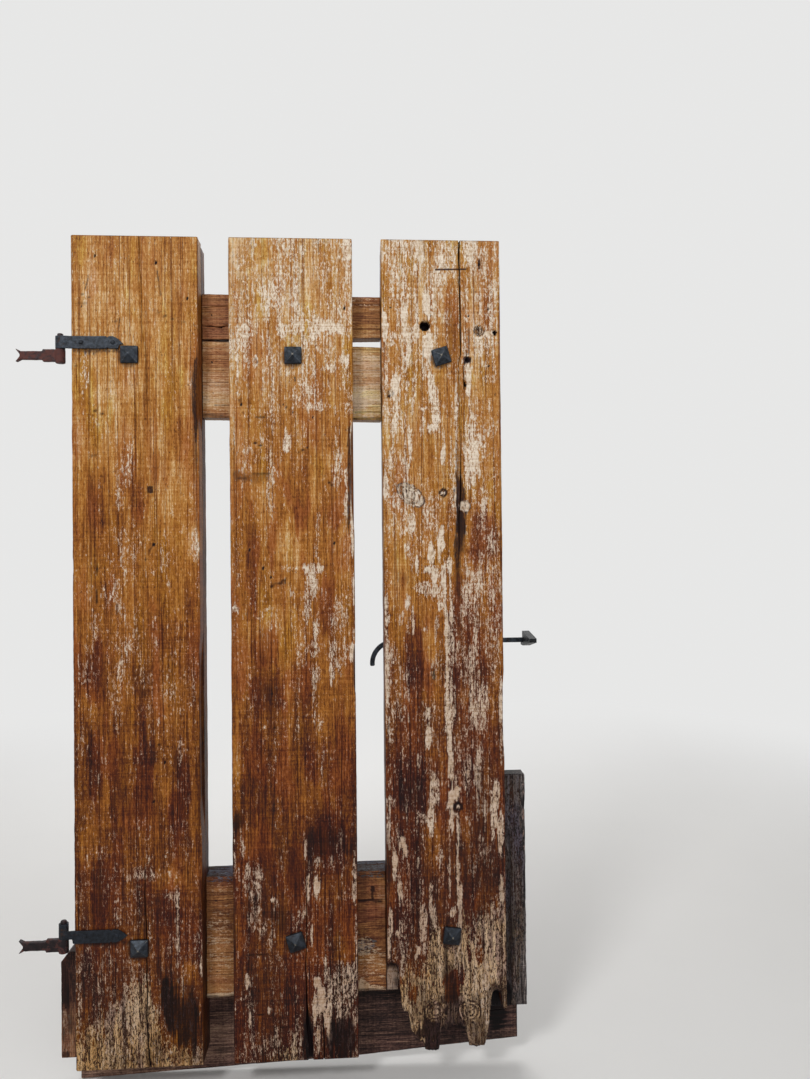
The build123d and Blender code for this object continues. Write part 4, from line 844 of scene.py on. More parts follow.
        (188, 1450, 6, 60, 0.34), (213, 1712, 9, 8, 0.9), (48, 1170, 14, 12, 0.3), (66, 1384, 4, 12, 0.3),
        (70, 1358, 12, 4, 0.5), (110, 55, 24, 40, 0.86), (108, 20, 26, 24, 0.92), (80, 50, 16, 14, 0.76),
        (155, 135, 22, 60, 0.62), (150, 190, 18, 30, 0.44), (198, 222, 5, 16, 0.8), (165, 66, 40, 24, 0.66),
        (190, 60, 14, 30, 0.62), (230, 600, 24, 90, 0.28), (245, 440, 40, 60, 0.24), (195, 480, 16, 60, 0.2),
        (12, 212, 16, 16, 0.72), (6, 500, 5, 90, 0.4), (22, 205, 10, 14, 0.7), (206, 100, 34, 40, 0.42),
        (220, 50, 30, 56, 0.5), (85, 120, 30, 60, 0.34), (160, 90, 20, 40, 0.6), (264, 150, 10, 20, 0.6),
        (278, 150, 12, 14, 0.66), (292, 130, 8, 40, 0.45), (252, 110, 6, 40, 0.35), (60, 640, 30, 40, 0.3),
        (225, 560, 14, 60, 0.3), (214, 345, 30, 26, 0.24), (122, 100, 12, 12, 0.55), (205, 96, 12, 14, 0.4),
        (62, 825, 8, 16, 0.3), (294, 1250, 3, 300, 0.3), (150, 120, 24, 24, 0.6), (292, 60, 6, 40, 0.4),
        (120, 935, 5, 16, 0.4),
    ],
    "coat": [
        (160, 165, 20, 36, 1.0), (186, 190, 8, 30, 0.8), (203, 232, 7, 22, 0.9), (60, 150, 10, 20, 0.7),
        (230, 250, 12, 30, 0.6), (215, 190, 6, 30, 0.5),
    ],
    "marks": [
        (137, 1936, 212, 1938, 1.5, 0.95), (97, 1896, 114, 1896, 1.1, 0.7),
        (104, 1740, 104, 1690, 1.2, 0.45), (219, 1790, 217, 1725, 1.3, 0.5),
        (198, 1850, 198, 1760, 1.0, 0.35), (56, 1715, 58, 1650, 0.9, 0.3), (245, 1960, 245, 1940, 2.0, 0.8),
        (0, 920, 150, 918, 0.7, 0.2), (0, 1188, 140, 1186, 0.7, 0.2), (96, 500, 290, 494, 0.9, 0.25),
        (225, 480, 225, 380, 1.0, 0.4), (145, 270, 146, 170, 1.6, 0.7), (186, 240, 187, 150, 1.4, 0.6),
        (208, 260, 206, 150, 1.4, 0.5), (240, 300, 240, 180, 1.3, 0.45), (170, 250, 170, 170, 1.2, 0.4),
        (125, 250, 124, 180, 1.2, 0.4), (262, 320, 262, 200, 1.2, 0.4),
    ],
    "knots": [   # across, up, half across, half up, lean, rings, how pale
        (69, 1377, 41, 24, -0.72, 3, 0.8), (203, 1348, 16, 16, 0.0, 1, 1.0),
        (243, 1784, 14, 13, 0.0, 2, 0.42), (122, 932, 5, 15, 0.0, 2, 0.25), (20, 1628, 10, 9, 0.3, 2, 0.35),
        (119, 104, 30, 26, 0.3, 3, 0.1), (203, 100, 30, 27, -0.3, 3, 0.1),
    ],
    "rings": [(180, 605, 13), (150, 1382, 11)],
}

boltSpots = {"left_plank": [(138, 1720), (153, 290)], "middle_plank": [(156, 1720), (152, 290)],
             "right_plank": [(148, 1720), (161, 290)]}


# distance in a knot's own leaning ellipse, 0 at the heart and 1 at the rim, bent by noise
def knotFar(knot, a, l):
    across, up, wide, high, lean = knot[:5]
    da, dl = a - across, l - up
    u = da * math.cos(lean) + dl * math.sin(lean)
    v = -da * math.sin(lean) + dl * math.cos(lean)
    return np.sqrt((u / wide) ** 2 + (v / high) ** 2) + 0.09 * softNoise(a / 10, l / 10, wide, 2)


# 1 and 0 in turn with the distance, count times between heart and rim
def knotRings(far, count):
    return 0.5 + 0.5 * np.cos(far * count * 2 * math.pi)


# the sideways drift of the grain
def grainBend(spec, a, l):
    return 4 * softNoise(a / 40, l / 300, spec["seed"] + 30, 2)


# 1 inside a small square plate, falling to 0 over the given margin
def plateShare(plate, a, l, margin):
    at, up, half = plate
    return (1 - ease(np.abs(a - at), half - margin, half)) * (1 - ease(np.abs(l - up), half - margin, half))


# depth below the face: grain ridges, deeper where the wood is bare, then knots, seats, holes and scratches
def boardRelief(spec, a, l):
    seed = spec["seed"]
    grain = halfNoise((a + grainBend(spec, a, l)) / 2.6, l / 140, seed + 31, 3)
    deep = 0.25 + spec["grainDeep"] * grain + bareField(spec, a, l) * (0.4 + 2.0 * grain ** 2)
    deep += 0.35 * halfNoise(a / 60, l / 200, seed + 32, 2)
    for knot in spec["knots"]:
        far = knotFar(knot, a, l)
        inside = 1 - ease(far, 0.75, 1.1)
        deep = deep * (1 - inside) + inside * (0.3 + 0.9 * knotRings(far, knot[5]))
    for at, up in boltSpots.get(spec["stands"][0], []):
        near = 1 - ease(np.hypot(a - at, l - up), 22, 34)
        deep = deep * (1 - near) + 0.05 * near
    for at, up, radius, down in spec["holes"]:
        far = np.hypot(a - at, l - up)
        deep = np.maximum(deep, down * (1 - ease(far, radius * 0.82, radius * 1.04)))
    deep += 0.9 * scratches(spec["marks"], a, l)
    for plate in spec["plates"]:
        near = plateShare(plate[:3], a, l, 1)
        deep = deep * (1 - near) + 0.05 * near
    if spec["foot"]:
        deep += 5.0 * (1 - ease(l - between(spec["foot"], a), 0.0, 11.0))
    return deep


# how bare the wood is: 1 below the weathering line, which noise drags into streaks, and 0 above it
def bareField(spec, a, l):
    seed = spec["seed"]
    spots = patchwork(spec["bareSpots"], a, l, seed + 42, 0.45)
    if not spec["bareLine"]:
        return spots
    streaks = 34 * softNoise(a / 3.5, l / 500, seed + 40, 2) + 26 * softNoise(a / 16, l / 45, seed + 41, 3)
    return np.maximum(spots, 1 - ease(l - between(spec["bareLine"], a) - streaks, -75, 95))


# paint, bare and dark amounts, then tone, redness and pits, from the board's own lists
def boardLook(spec, a, l, deep, front, dips):
    seed, width = spec["seed"], spec["width"]
    tone = between(spec["tone"], l) + 0.05 * softNoise((a + grainBend(spec, a, l)) / 9, l / 420, seed + 50, 3)
    tone = tone + 0.035 * softNoise(a / 70, l / 160, seed + 51, 2)
    tone = tone + patchwork(spec["pale"], a, l, seed + 52, 0.5)
    stain = patchwork(spec["deep"], a, l, seed + 53, 0.7)
    lightLines = scratches(spec["lightMarks"], a, l)
    tone = tone - spec["staining"] * stain + 0.28 * lightLines
    bare = bareField(spec, a, l) * (1 - patchwork(spec["coat"], a, l, seed + 61, 0.6)) * front
    paint = patchwork(spec["paint"], a, l, seed + 54, 0.6) * spec["flaking"] * front
    crumbs = between(spec["crumbs"], l) * (0.72 + 0.95 * softNoise(a / 24, l / 130, seed + 59, 3)) * front
    paint = np.maximum(np.maximum(paint, crumbs), lightLines * 0.9 * (lightLines > 0.5))
    dark = patchwork(spec["dark"], a, l, seed + 55, 0.85) * (0.35 + 0.65 * front)
    dark = np.maximum(dark, scratches(spec["marks"], a, l) * front)
    pit = dips.copy()
    for at, up, radius, down in spec["holes"]:
        if radius > 10 and down < 10:   # a wide and shallow one is the plug, which stays pale
            continue
        far = np.hypot(a - at, l - up)
        pit = np.maximum(pit, (1 - ease(far, radius * 0.9, radius * 1.12)) * front * min(1, down / 5))
    for knot in spec["knots"]:
        far, pale = knotFar(knot, a, l), knot[6]
        inside = (1 - ease(far, 0.9, 1.08)) * front
        rings = knotRings(far, knot[5])
        lines = (0.9 - 0.72 * pale) * rings + 0.6 * (1 - ease(np.abs(far - 0.97), 0.02, 0.14))
        dark = np.maximum(dark * (1 - inside), inside * lines)
        paint = paint * (1 - inside) + inside * pale * (1 - 0.4 * rings)
        bare = np.maximum(bare, inside * 0.8)
    for at, up, radius in spec["rings"]:
        far = np.hypot(a - at, l - up) / radius
        dark = np.maximum(dark * ease(far, 0.9, 1.2), 1.0 - ease(np.abs(far - 0.72), 0.16, 0.36))
        paint = np.where(far < 0.4, 1.0, paint * ease(far, 0.9, 1.2))
    # a soft painted shadow under each bolt, set a little down and to the left, laid on as dark
    for at, up in boltSpots.get(spec["stands"][0], []):
        far = np.hypot(a - at + 2, l - up + 5)
        dark = np.maximum(dark, 0.50 * (1 - ease(far, 23, 32)) * front)
    for *plate, shade in spec["plates"]:
        dark = np.maximum(dark, plateShare(plate, a, l, 1.5) * front * shade)
    # sides and back: darkened towards brown-black, but bare on the upper side of a rail
    off = 1 - front
    sides = spec["sideDark"] + 0.25 * softNoise(a / 30 + deep / 6, l / 120, seed + 57, 3)
    dark = np.maximum(dark, off * sides)
    tone = tone - off * 0.06
    topSide = off * ease(a, width - 4, width - 1) * spec["topBare"]
    bare = np.maximum(bare, topSide)
    dark = dark * (1 - 0.7 * topSide)
    # the front darkened within a few millimetres of every edge
    rim = np.minimum(np.minimum(a, width - a), np.minimum(l, spec["length"] - l))
    rimDark = 0.45 + 0.35 * softNoise(a / 12, l / 24, seed + 60, 2)
    dark = np.maximum(dark, rimDark * (1 - ease(rim, 0.8, 3.6)) * front)
    red = halfNoise(a / 34, l / 150, seed + 58, 3) + between(spec["ruddy"], l)
    red = red + stain * spec["reddening"] * (1 - 0.75 * ease(l, 1250, 1650))
    return (paint, bare, dark), (tone, red, pit)


# weathered wood: tone picks the stain, from almost black to bleached, and the other colours lie over it
woodColours = {
    "stain": [(0.00, (0.012, 0.005, 0.004)), (0.18, (0.050, 0.011, 0.005)), (0.32, (0.118, 0.030, 0.005)),
              (0.46, (0.235, 0.074, 0.009)), (0.60, (0.368, 0.137, 0.019)), (0.74, (0.475, 0.218, 0.052)),
              (0.90, (0.620, 0.395, 0.175)), (1.00, (0.770, 0.595, 0.395))],
    "golden": (1.02, 1.10, 0.62, 1), "redDeep": (0.70, 0.48, 0.76, 1), "redPale": (0.80, 0.61, 0.50, 1),
    "hair": (0.36, 0.24, 0.20, 1), "pore": (0.30, 0.20, 0.18, 1), "bareGolden": (0.98, 0.86, 0.62, 1),
    "furrow": (0.026, 0.012, 0.008, 1), "barePore": (0.032, 0.014, 0.009, 1),
    "oldCoat": (0.070, 0.024, 0.012, 1),
    "paintShade": [(0.15, (0.62, 0.50, 0.44)), (0.75, (1.0, 1.0, 1.0))], "paintDirt": (0.70, 0.58, 0.46, 1),
    # the grime colour serves the painted shadows as well as the stains
    "grimeAndShade": (0.075, 0.052, 0.068, 1), "pit": (0.011, 0.005, 0.006, 1),
}
# across, along, detail, roughness, shift and warp of each noise; the first two are cycles per metre
woodNoises = {
    "fibre": (340, 13, 7, 0.68, 0, 0.15),
    "streak": (95, 3.4, 6, 0.66, 3, 0.25),
    "blotch": (17, 6, 6, 0.62, 4, 0.5),      # cloudy stains
    "saw": (5, 240, 3, 0.5, 5, 0.0),         # saw marks across the grain
    "broad": (62, 17, 8, 0.74, 7, 0.5),      # islands of paint
    "crumb": (270, 105, 6, 0.78, 8, 0.6),    # crumbs of paint
    "pore": (330, 110, 3, 0.6, 9, 0.3),
    "hair": (330, 2.1, 4, 0.6, 11, 0.2),     # dark hairlines along the grain
}


# grain "Z" runs up, "X" runs sideways; the two attributes carry the wear and the tint that numpy worked out,
# and the wear's dark channel holds painted shadows among its stains
def weatheredWood(name, grain, paintColour=(0.84, 0.73, 0.60), bareColour=(0.50, 0.315, 0.165), shift=0.0,
                  gloss=0.5, saturation=1.0, contrast=1.0):
    mat, tree = newMaterial(name)
    look = woodColours

    def noise(key):
        across, along, detail, rough, own, warp = woodNoises[key]
        scales = (across, across, along) if grain == "Z" else (along, across, across)
        return grainNoise(tree, scales, detail, rough, shift + own, warp)

    def off(value):
        return calc(tree, "SUBTRACT", value, 0.5)

    # a colour laid over another, multiplied in or mixed, as far as the mask says
    def over(base, mask, colour, mode="MULTIPLY"):
        return mixed(tree, mask, base, colour, mode)

    def masked(value, low, high, amount):
        return times(tree, step(tree, value, low, high), amount)

    def channels(attribute):
        read = node(tree, "ShaderNodeAttribute", attribute_name=attribute).outputs["Color"]
        return node(tree, "ShaderNodeSeparateColor", {0: read}).outputs

    paint, bare, dark = channels("wear")
    tone, red, pit = channels("tint")
    fibre, streak, blotch, saw, broad, crumb, pore, hair = (noise(key) for key in woodNoises)
    fibreOff, streakOff, sawOff, crumbOff, broadOff = (off(x) for x in (fibre, streak, saw, crumb, broad))
    value = tone
    for part, weight in ((fibreOff, 1.15), (streakOff, 0.50), (off(blotch), 0.60), (crumbOff, 1.05),
                         (sawOff, 0.27)):
        value = blend(tree, part, weight * contrast, value)
    wood = colours(tree, value, look["stain"])
    # golden where the stain is thin, red to purple where it is thick
    hue = blend(tree, off(blotch), 1.6, red)
    wood = over(wood, masked(hue, 0.46, 0.12, 0.80), look["golden"])
    redder = mixed(tree, step(tree, tone, 0.45, 0.70), look["redDeep"], look["redPale"])
    wood = over(wood, masked(hue, 0.52, 0.88, 0.80), redder)
    wood = over(wood, masked(hair, 0.54, 0.61, 0.78), look["hair"])
    wood = over(wood, masked(pore, 0.59, 0.66, 0.75), look["pore"])
    wood = node(tree, "ShaderNodeHueSaturation", {"Saturation": saturation, "Color": wood}).outputs[0]
    # bare wood: open grain, dark in its furrows, with crumbs of the old brown coat
    ridge = step(tree, blend(tree, streakOff, 0.65, blend(tree, crumbOff, 1.3, fibre)), 0.38, 0.52)
    paler = (*[min(1, c * s) for c, s in zip(bareColour, (1.30, 1.45, 1.75))], 1)
    pinker = (*[c * s for c, s in zip(bareColour, (0.78, 0.80, 1.15))], 1)
    bareTint = mixed(tree, step(tree, blotch, 0.42, 0.54), pinker, (*bareColour, 1))
    bareTint = mixed(tree, step(tree, blend(tree, broadOff, 0.6, streak), 0.50, 0.62), bareTint, paler)
    bareTint = over(bareTint, step(tree, red, 0.50, 0.20), look["bareGolden"])
    bareWood = mixed(tree, ridge, look["furrow"], bareTint)
    bareWood = over(bareWood, step(tree, pore, 0.53, 0.60), look["barePore"], "MIX")
    bareWood = over(bareWood, masked(crumb, 0.47, 0.41, 0.85), look["oldCoat"], "MIX")
    bareEdge = blend(tree, crumbOff, 3.4, blend(tree, broadOff, 1.5, bare))
    bareMask = times(tree, step(tree, bareEdge, 0.46, 0.60), step(tree, bare, 0.02, 0.12))
    body = mixed(tree, bareMask, wood, bareWood)
    # paint left in flakes and crumbs
    edge = blend(tree, broadOff, 2.0, blend(tree, paint, 1.45, -0.84))
    edge = blend(tree, fibreOff, 2.2, blend(tree, crumbOff, 4.6, edge))
    paintMask = times(tree, step(tree, edge, -0.16, 0.18), step(tree, paint, 0.03, 0.12))
    # the paint darkened where the tone is low, most towards the foot: painted shade
    paintTint = mixed(tree, 1.0, (*paintColour, 1), colours(tree, tone, look["paintShade"]), "MULTIPLY")
    paintTint = over(paintTint, step(tree, blend(tree, sawOff, 0.5, crumb), 0.60, 0.38), look["paintDirt"])
    body = mixed(tree, paintMask, body, paintTint)
    # stains and painted shadows, cracks and holes
    darkEdge = blend(tree, crumbOff, blend(tree, dark, 1.8, 0.8), blend(tree, streakOff, 0.6, dark))
    # the dark amount's colour darkens stains and painted shadows alike
    body = over(body, step(tree, darkEdge, 0.05, 0.85), look["grimeAndShade"])
    body = over(body, step(tree, pit, 0.10, 0.75), look["pit"], "MIX")
    rough = gloss
    for part, weight in ((bareMask, 0.30), (paintMask, 0.18), (fibreOff, 0.45)):
        rough = blend(tree, part, weight, rough)
    height = times(tree, streak, 0.6)
    for part, weight in ((fibre, 0.70), (sawOff, 0.22), (step(tree, hair, 0.57, 0.66), -0.30),
                         (step(tree, pore, 0.61, 0.69), -0.30), (paintMask, 0.30),
                         (times(tree, bareMask, ridge), 0.6)):
        height = blend(tree, part, weight, height)
    bump = bumped(tree, height, 0.85, 0.0012)
    finishMaterial(tree, {"Base Color": body, "Roughness": rough, "Normal": bump}, 0.15)
    return mat


plankWood = weatheredWood("plankWood", "Z")
for spec in (leftPlank, middlePlank, rightPlank):
    buildBoard(spec, plankWood)

hangingStile = {
    "seed": 83, "corner": (127.0, 40.0, -300.5), "width": 243.0, "length": 1998.0, "columns": 50,
    "rows": 160, "stands": ["hanging_stile"], "round": 2.0, "grainDeep": 0.3,
    "cracks": [{"path": [(300, 150, 0.2), (500, 152, 0.8), (760, 149, 0.2)], "deep": 4}],
    "tone": [(0, 0.22), (400, 0.28), (1200, 0.34), (1998, 0.4)], "sideDark": 0.25,
    "deep": [(120, 900, 40, 300, 0.06), (60, 300, 40, 200, 0.06)], "pale": [(180, 1500, 30, 200, 0.06)],
    "holes": [(60, 1400, 3, 5), (190, 700, 3, 5)],
}
latchStile = {
    "seed": 97, "corner": (815.0, 40.0, -164.5), "width": 240.0, "length": 1862.0, "columns": 50,
    "rows": 150, "stands": ["latch_stile"], "round": 2.0, "grainDeep": 0.3,
    "cracks": [{"path": [(900, 90, 0.2), (1200, 93, 0.9), (1600, 90, 0.2)], "deep": 4}],
    "tone": [(0, 0.3), (300, 0.26), (1000, 0.34), (1862, 0.4)], "sideDark": 0.25,
    "paint": [(14, 30, 26, 46, 0.85), (30, 60, 20, 40, 0.5)],
    "dark": [(10, 72, 18, 16, 0.8), (26, 20, 10, 10, 0.5)], "deep": [(150, 700, 40, 260, 0.06)],
    "pale": [(60, 1400, 30, 200, 0.06)], "holes": [(180, 1300, 3, 5)],
}
topBoard = {
    "seed": 103, "along": "X", "corner": (370.0, 40.0, 1466.5), "width": 115.0, "length": 445.0,
    "columns": 54, "rows": 130, "stands": ["upper_rail_top_board"], "round": 2.2,
    "rise": [(0, 0.0), (445, 7.0)], "tall": [(0, 115.0), (445, 104.0)], "grainDeep": 0.9, "topBare": 1.0,
    "cracks": [
        {"path": [(-5, 82, 0.9), (40, 84, 0.6), (90, 81, 0.3), (140, 82, 0.1)], "deep": 6},
        {"path": [(-5, 36, 0.5), (20, 33, 1.2), (45, 30, 1.8), (60, 34, 0.8), (100, 35, 0.1)], "deep": 7},
    ],
    "tone": [(0, 0.63), (80, 0.61), (200, 0.52), (370, 0.62), (445, 0.62)],
    "deep": [
        (100, 40, 20, 60, 0.03), (60, 410, 18, 60, 0.12), (95, 410, 12, 60, 0.06), (20, 40, 14, 60, 0.08),
    ],
    "pale": [(40, 410, 16, 60, 0.12), (10, 400, 12, 60, 0.08), (70, 30, 12, 40, 0.06)],
    "paint": [(106, 400, 4, 40, 0.5), (92, 400, 3, 40, 0.46), (80, 410, 2.5, 40, 0.4)],
    "ruddy": [(0, 0.45), (90, 0.4), (200, 0.1), (370, 0.1), (445, 0.1)],
    "marks": [
        (56, 380, 56, 445, 1.0, 0.4), (24, 380, 25, 445, 1.2, 0.4), (70, 380, 71, 445, 0.9, 0.35),
        (100, 0, 101, 70, 0.9, 0.3), (60, 0, 62, 70, 0.9, 0.3), (14, 0, 12, 70, 1.0, 0.35),
    ],
    "holes": [(62, 24, 1.8, 4), (30, 48, 3.0, 6)],
}
lowerBoard = {
    "seed": 109, "along": "X", "corner": (370.0, 40.0, 1271.5), "width": 193.0, "length": 445.0,
    "columns": 70, "rows": 130, "stands": ["upper_rail_lower_board"], "round": 2.2,
    "rise": [(0, 0.0), (445, -6.0)], "tall": [(0, 193.0), (445, 185.0)], "grainDeep": 0.7, "topBare": 0.7,
    "tone": [(0, 0.79), (80, 0.77), (200, 0.66), (370, 0.82), (445, 0.84)],
    "deep": [(20, 40, 20, 50, 0.04), (120, 40, 40, 60, 0.05), (12, 410, 8, 60, 0.04)],
    "pale": [(150, 410, 30, 60, 0.06), (40, 410, 36, 60, 0.14), (60, 30, 26, 40, 0.05)],
    "paint": [
        (48, 410, 8, 50, 0.55), (28, 410, 8, 50, 0.5), (70, 410, 20, 50, 0.4), (14, 405, 6, 40, 0.5),
        (130, 405, 20, 50, 0.26), (60, 30, 30, 40, 0.22), (15, 30, 10, 40, 0.3),
    ],
    "holes": [(140, 25, 2.4, 5), (95, 20, 1.8, 3), (118, 388, 1.8, 3)],
    "ruddy": [(0, 0.16), (90, 0.12), (200, 0.0), (370, -0.08), (445, -0.08)], "sideDark": 0.45,
    "marks": [
        (80, 0, 82, 70, 1.0, 0.4), (33, 30, 33, 66, 1.4, 0.5), (45, 0, 46, 60, 0.8, 0.25),
        (96, 380, 97, 445, 0.9, 0.35), (20, 380, 22, 445, 1.2, 0.45), (8, 0, 9, 60, 1.2, 0.4),
    ],
    "dark": [(4, 40, 5, 60, 0.5), (4, 410, 5, 60, 0.5)],
}
lowerRail = {
    "seed": 127, "along": "X", "corner": (370.0, 40.0, -165.5), "width": 300.0, "length": 445.0,
    "columns": 84, "rows": 140, "stands": ["lower_rail"], "round": 2.5, "topRounder": 2.8, "grainDeep": 0.8,
    "topBare": 1.0, "tone": [(0, 0.53), (80, 0.5), (370, 0.42), (445, 0.44)],
    "deep": [
        (255, 30, 36, 50, 0.1), (200, 30, 26, 50, 0.08), (270, 410, 30, 60, 0.02), (160, 410, 30, 60, 0.03),
        (185, 30, 20, 40, 0.06),
    ],
    "pale": [
        (70, 30, 60, 60, 0.1), (30, 30, 26, 50, 0.1), (240, 435, 40, 10, 0.12), (60, 410, 40, 50, 0.1),
        (280, 20, 20, 30, 0.04),
    ],
    "paint": [
        (182, 30, 20, 40, 0.44), (145, 30, 16, 40, 0.36), (100, 30, 30, 40, 0.3), (6, 30, 7, 50, 0.78),
        (60, 30, 30, 50, 0.28), (6, 400, 8, 50, 0.85), (18, 384, 14, 14, 0.95), (270, 30, 20, 40, 0.22),
        (100, 398, 22, 30, 0.5), (120, 392, 16, 20, 0.55), (80, 410, 16, 40, 0.4), (40, 410, 20, 40, 0.34),
        (60, 425, 30, 20, 0.3), (220, 40, 16, 30, 0.24),
    ],
    "bareSpots": [(112, 392, 20, 26, 0.7), (292, 410, 8, 60, 0.5), (292, 30, 8, 60, 0.5)],
    "dark": [
        (253, 413, 9, 7, 0.75), (240, 411, 10, 4, 0.6), (227, 400, 3.5, 26, 0.7), (222, 425, 3, 10, 0.6),
        (275, 390, 30, 10, 0.25), (215, 20, 8, 20, 0.35), (3, 410, 4, 60, 0.6), (3, 30, 4, 60, 0.5),
    ],
    "marks": [
        (212, 30, 206, 56, 1.6, 0.5), (240, 10, 236, 40, 1.2, 0.4), (228, 384, 226, 436, 2.0, 0.7),
        (196, 380, 194, 445, 1.0, 0.4), (176, 384, 174, 420, 1.4, 0.45),
    ],
    "holes": [(238, 24, 2.0, 4)],
}
backBoard = {
    "seed": 131, "along": "X", "corner": (127.0, 85.0, -102.5), "width": 237.0, "length": 928.0,
    "thick": 25.0, "columns": 52, "rows": 150, "stands": ["lower_back_board"], "round": 2.0,
    "grainDeep": 0.6, "topBare": 1.0, "sideCount": 5, "tone": [(0, 0.3), (928, 0.32)],
    "deep": [(100, 300, 60, 160, 0.06)], "pale": [(160, 700, 40, 160, 0.05)],
    "cracks": [{"path": [(-5, 120, 1.0), (120, 124, 0.7), (320, 118, 0.2)], "deep": 4}],
}
kickBoard = {
    "seed": 139, "along": "X", "corner": (51.0, 85.0, -104.5), "width": 272.0, "length": 1103.0,
    "thick": 25.0, "columns": 76, "rows": 180, "slot": "kick_timber", "stands": ["kick_board"], "round": 2.2,
    "grainDeep": 0.9, "rise": [(0, -272.0), (683.9, -248.0), (1103, -220.0)],
    "tall": [(0, 272.0), (683.9, 248.0), (1103, 220.0)], "sideCount": 5, "endRough": 1.6,
    "tone": [(0, 0.34), (330, 0.33), (720, 0.17), (1000, 0.17), (1103, 0.17)],
    "deep": [(150, 740, 60, 100, 0.03)], "pale": [(70, 340, 40, 40, 0.05), (25, 100, 20, 120, 0.06)],
    "paint": [(60, 350, 20, 20, 0.22)],
    "dark": [
        (260, 340, 14, 60, 0.4), (40, 345, 4, 30, 0.4), (255, 740, 10, 90, 0.4), (88, 1052, 60, 22, 1.0),
    ],
    "marks": [
        (200, 690, 203, 800, 1.2, 0.3), (120, 690, 124, 820, 1.0, 0.3), (46, 330, 50, 370, 1.6, 0.5),
    ],
    "cracks": [{"path": [(1000, 90, 0.2), (1060, 92, 1.0), (1108, 95, 1.4)], "deep": 5}],
}
leftStrip = {
    "seed": 149, "corner": (18.0, 40.0, -295.5), "width": 109.0, "length": 258.0, "columns": 56, "rows": 110,
    "slot": "strip_timber", "stands": ["left_cover_strip"], "round": 2.0, "wear": 1.4,
    "high": [(0, 234), (3, 238), (17, 256), (22, 258), (109, 258)], "grainDeep": 0.8, "sideDark": 0.2,
    "tone": [(0, 0.48), (110, 0.44), (140, 0.16), (258, 0.14)],
    "dark": [
        (8, 170, 16, 60, 0.55), (6, 60, 5, 20, 0.5), (22, 90, 6, 30, 0.45), (12, 8, 10, 8, 0.6),
        (14, 128, 8, 10, 0.5),
    ],
    "paint": [(10, 100, 6, 30, 0.46), (12, 40, 8, 44, 0.44), (22, 70, 6, 60, 0.4)],
    "holes": [(12, 122, 2.2, 4), (8, 20, 2.0, 4)],
}
rightStrip = {
    "seed": 151, "corner": (1055.0, 40.0, -217.5), "width": 117.0, "length": 584.0, "columns": 60,
    "rows": 160, "slot": "strip_timber", "stands": ["right_cover_strip"], "round": 2.4, "wear": 2.2,
    "grainDeep": 1.6, "sideDark": 0.1, "endRough": 2.0, "endRound": 3.5, "tone": [(0, 0.18), (584, 0.18)],
    "bareSpots": [(84, 300, 26, 320, 0.7), (70, 520, 20, 40, 0.7)],
    "paint": [
        (112, 480, 4, 16, 0.7), (113, 420, 4, 30, 0.5), (113, 540, 4, 20, 0.5), (80, 500, 6, 30, 0.26),
        (96, 300, 4, 90, 0.3), (86, 60, 8, 50, 0.34), (104, 160, 3, 90, 0.3), (92, 200, 3, 60, 0.3),
    ],
    "dark": [
        (48, 16, 26, 34, 1.0), (112, 510, 6, 14, 0.6), (76, 250, 6, 200, 0.4), (104, 60, 6, 60, 0.35),
        (112, 300, 3, 40, 0.5),
    ],
    "rightWorn": [(505, 12, 2.5), (440, 10, 1.5), (250, 16, 1.5), (120, 10, 1.2), (10, 14, 2.0)],
}

railWood = weatheredWood("railWood", "X", (0.70, 0.53, 0.36), (0.110, 0.106, 0.104), 13, 0.5, 0.90)
frameWood = weatheredWood("frameWood", "Z", (0.60, 0.50, 0.42), (0.20, 0.16, 0.12), 17, 0.5, 0.90)
kickWood = weatheredWood("kickWood", "X", (0.30, 0.22, 0.20), (0.12, 0.10, 0.10), 23, 0.55, 0.62)
leftStripWood = weatheredWood("leftStripWood", "Z", (0.40, 0.30, 0.22), (0.070, 0.060, 0.060), 29, 0.55, 0.80)
rightStripWood = weatheredWood("rightStripWood", "Z", (0.42, 0.36, 0.36), (0.125, 0.098, 0.086), 31, 0.55,
                               0.24, 1.5)
for spec, finish in ((hangingStile, frameWood), (latchStile, frameWood), (topBoard, railWood),
                     (lowerBoard, railWood), (lowerRail, railWood), (backBoard, railWood),
                     (kickBoard, kickWood), (leftStrip, leftStripWood), (rightStrip, rightStripWood)):
    buildBoard(spec, finish)

pegWood = {"scales": (260, 260, 8), "low": (0.10, 0.045, 0.024), "high": (0.30, 0.16, 0.085), "shift": 1}


# rail pegs keep their CAD shape; their colour is half fine fibres and half a noise five times as broad
def plainTimber(name, spec):
    mat, tree = newMaterial(name)
    fibre = grainNoise(tree, spec["scales"], 6, 0.6, spec["shift"], 0.1)
    broad = grainNoise(tree, tuple(s / 5 for s in spec["scales"]), 4, 0.6, spec["shift"] + 2, 0.2)
    value = blend(tree, broad, 0.5, times(tree, fibre, 0.5))
    tint = colours(tree, value, [(0.36, spec["low"]), (0.64, spec["high"])])
    bump = bumped(tree, fibre, 0.8, 0.001)
    finishMaterial(tree, {"Base Color": tint, "Roughness": 0.72, "Normal": bump}, 0.3)
    return mat


frameTimber = plainTimber("frameTimber", pegWood)


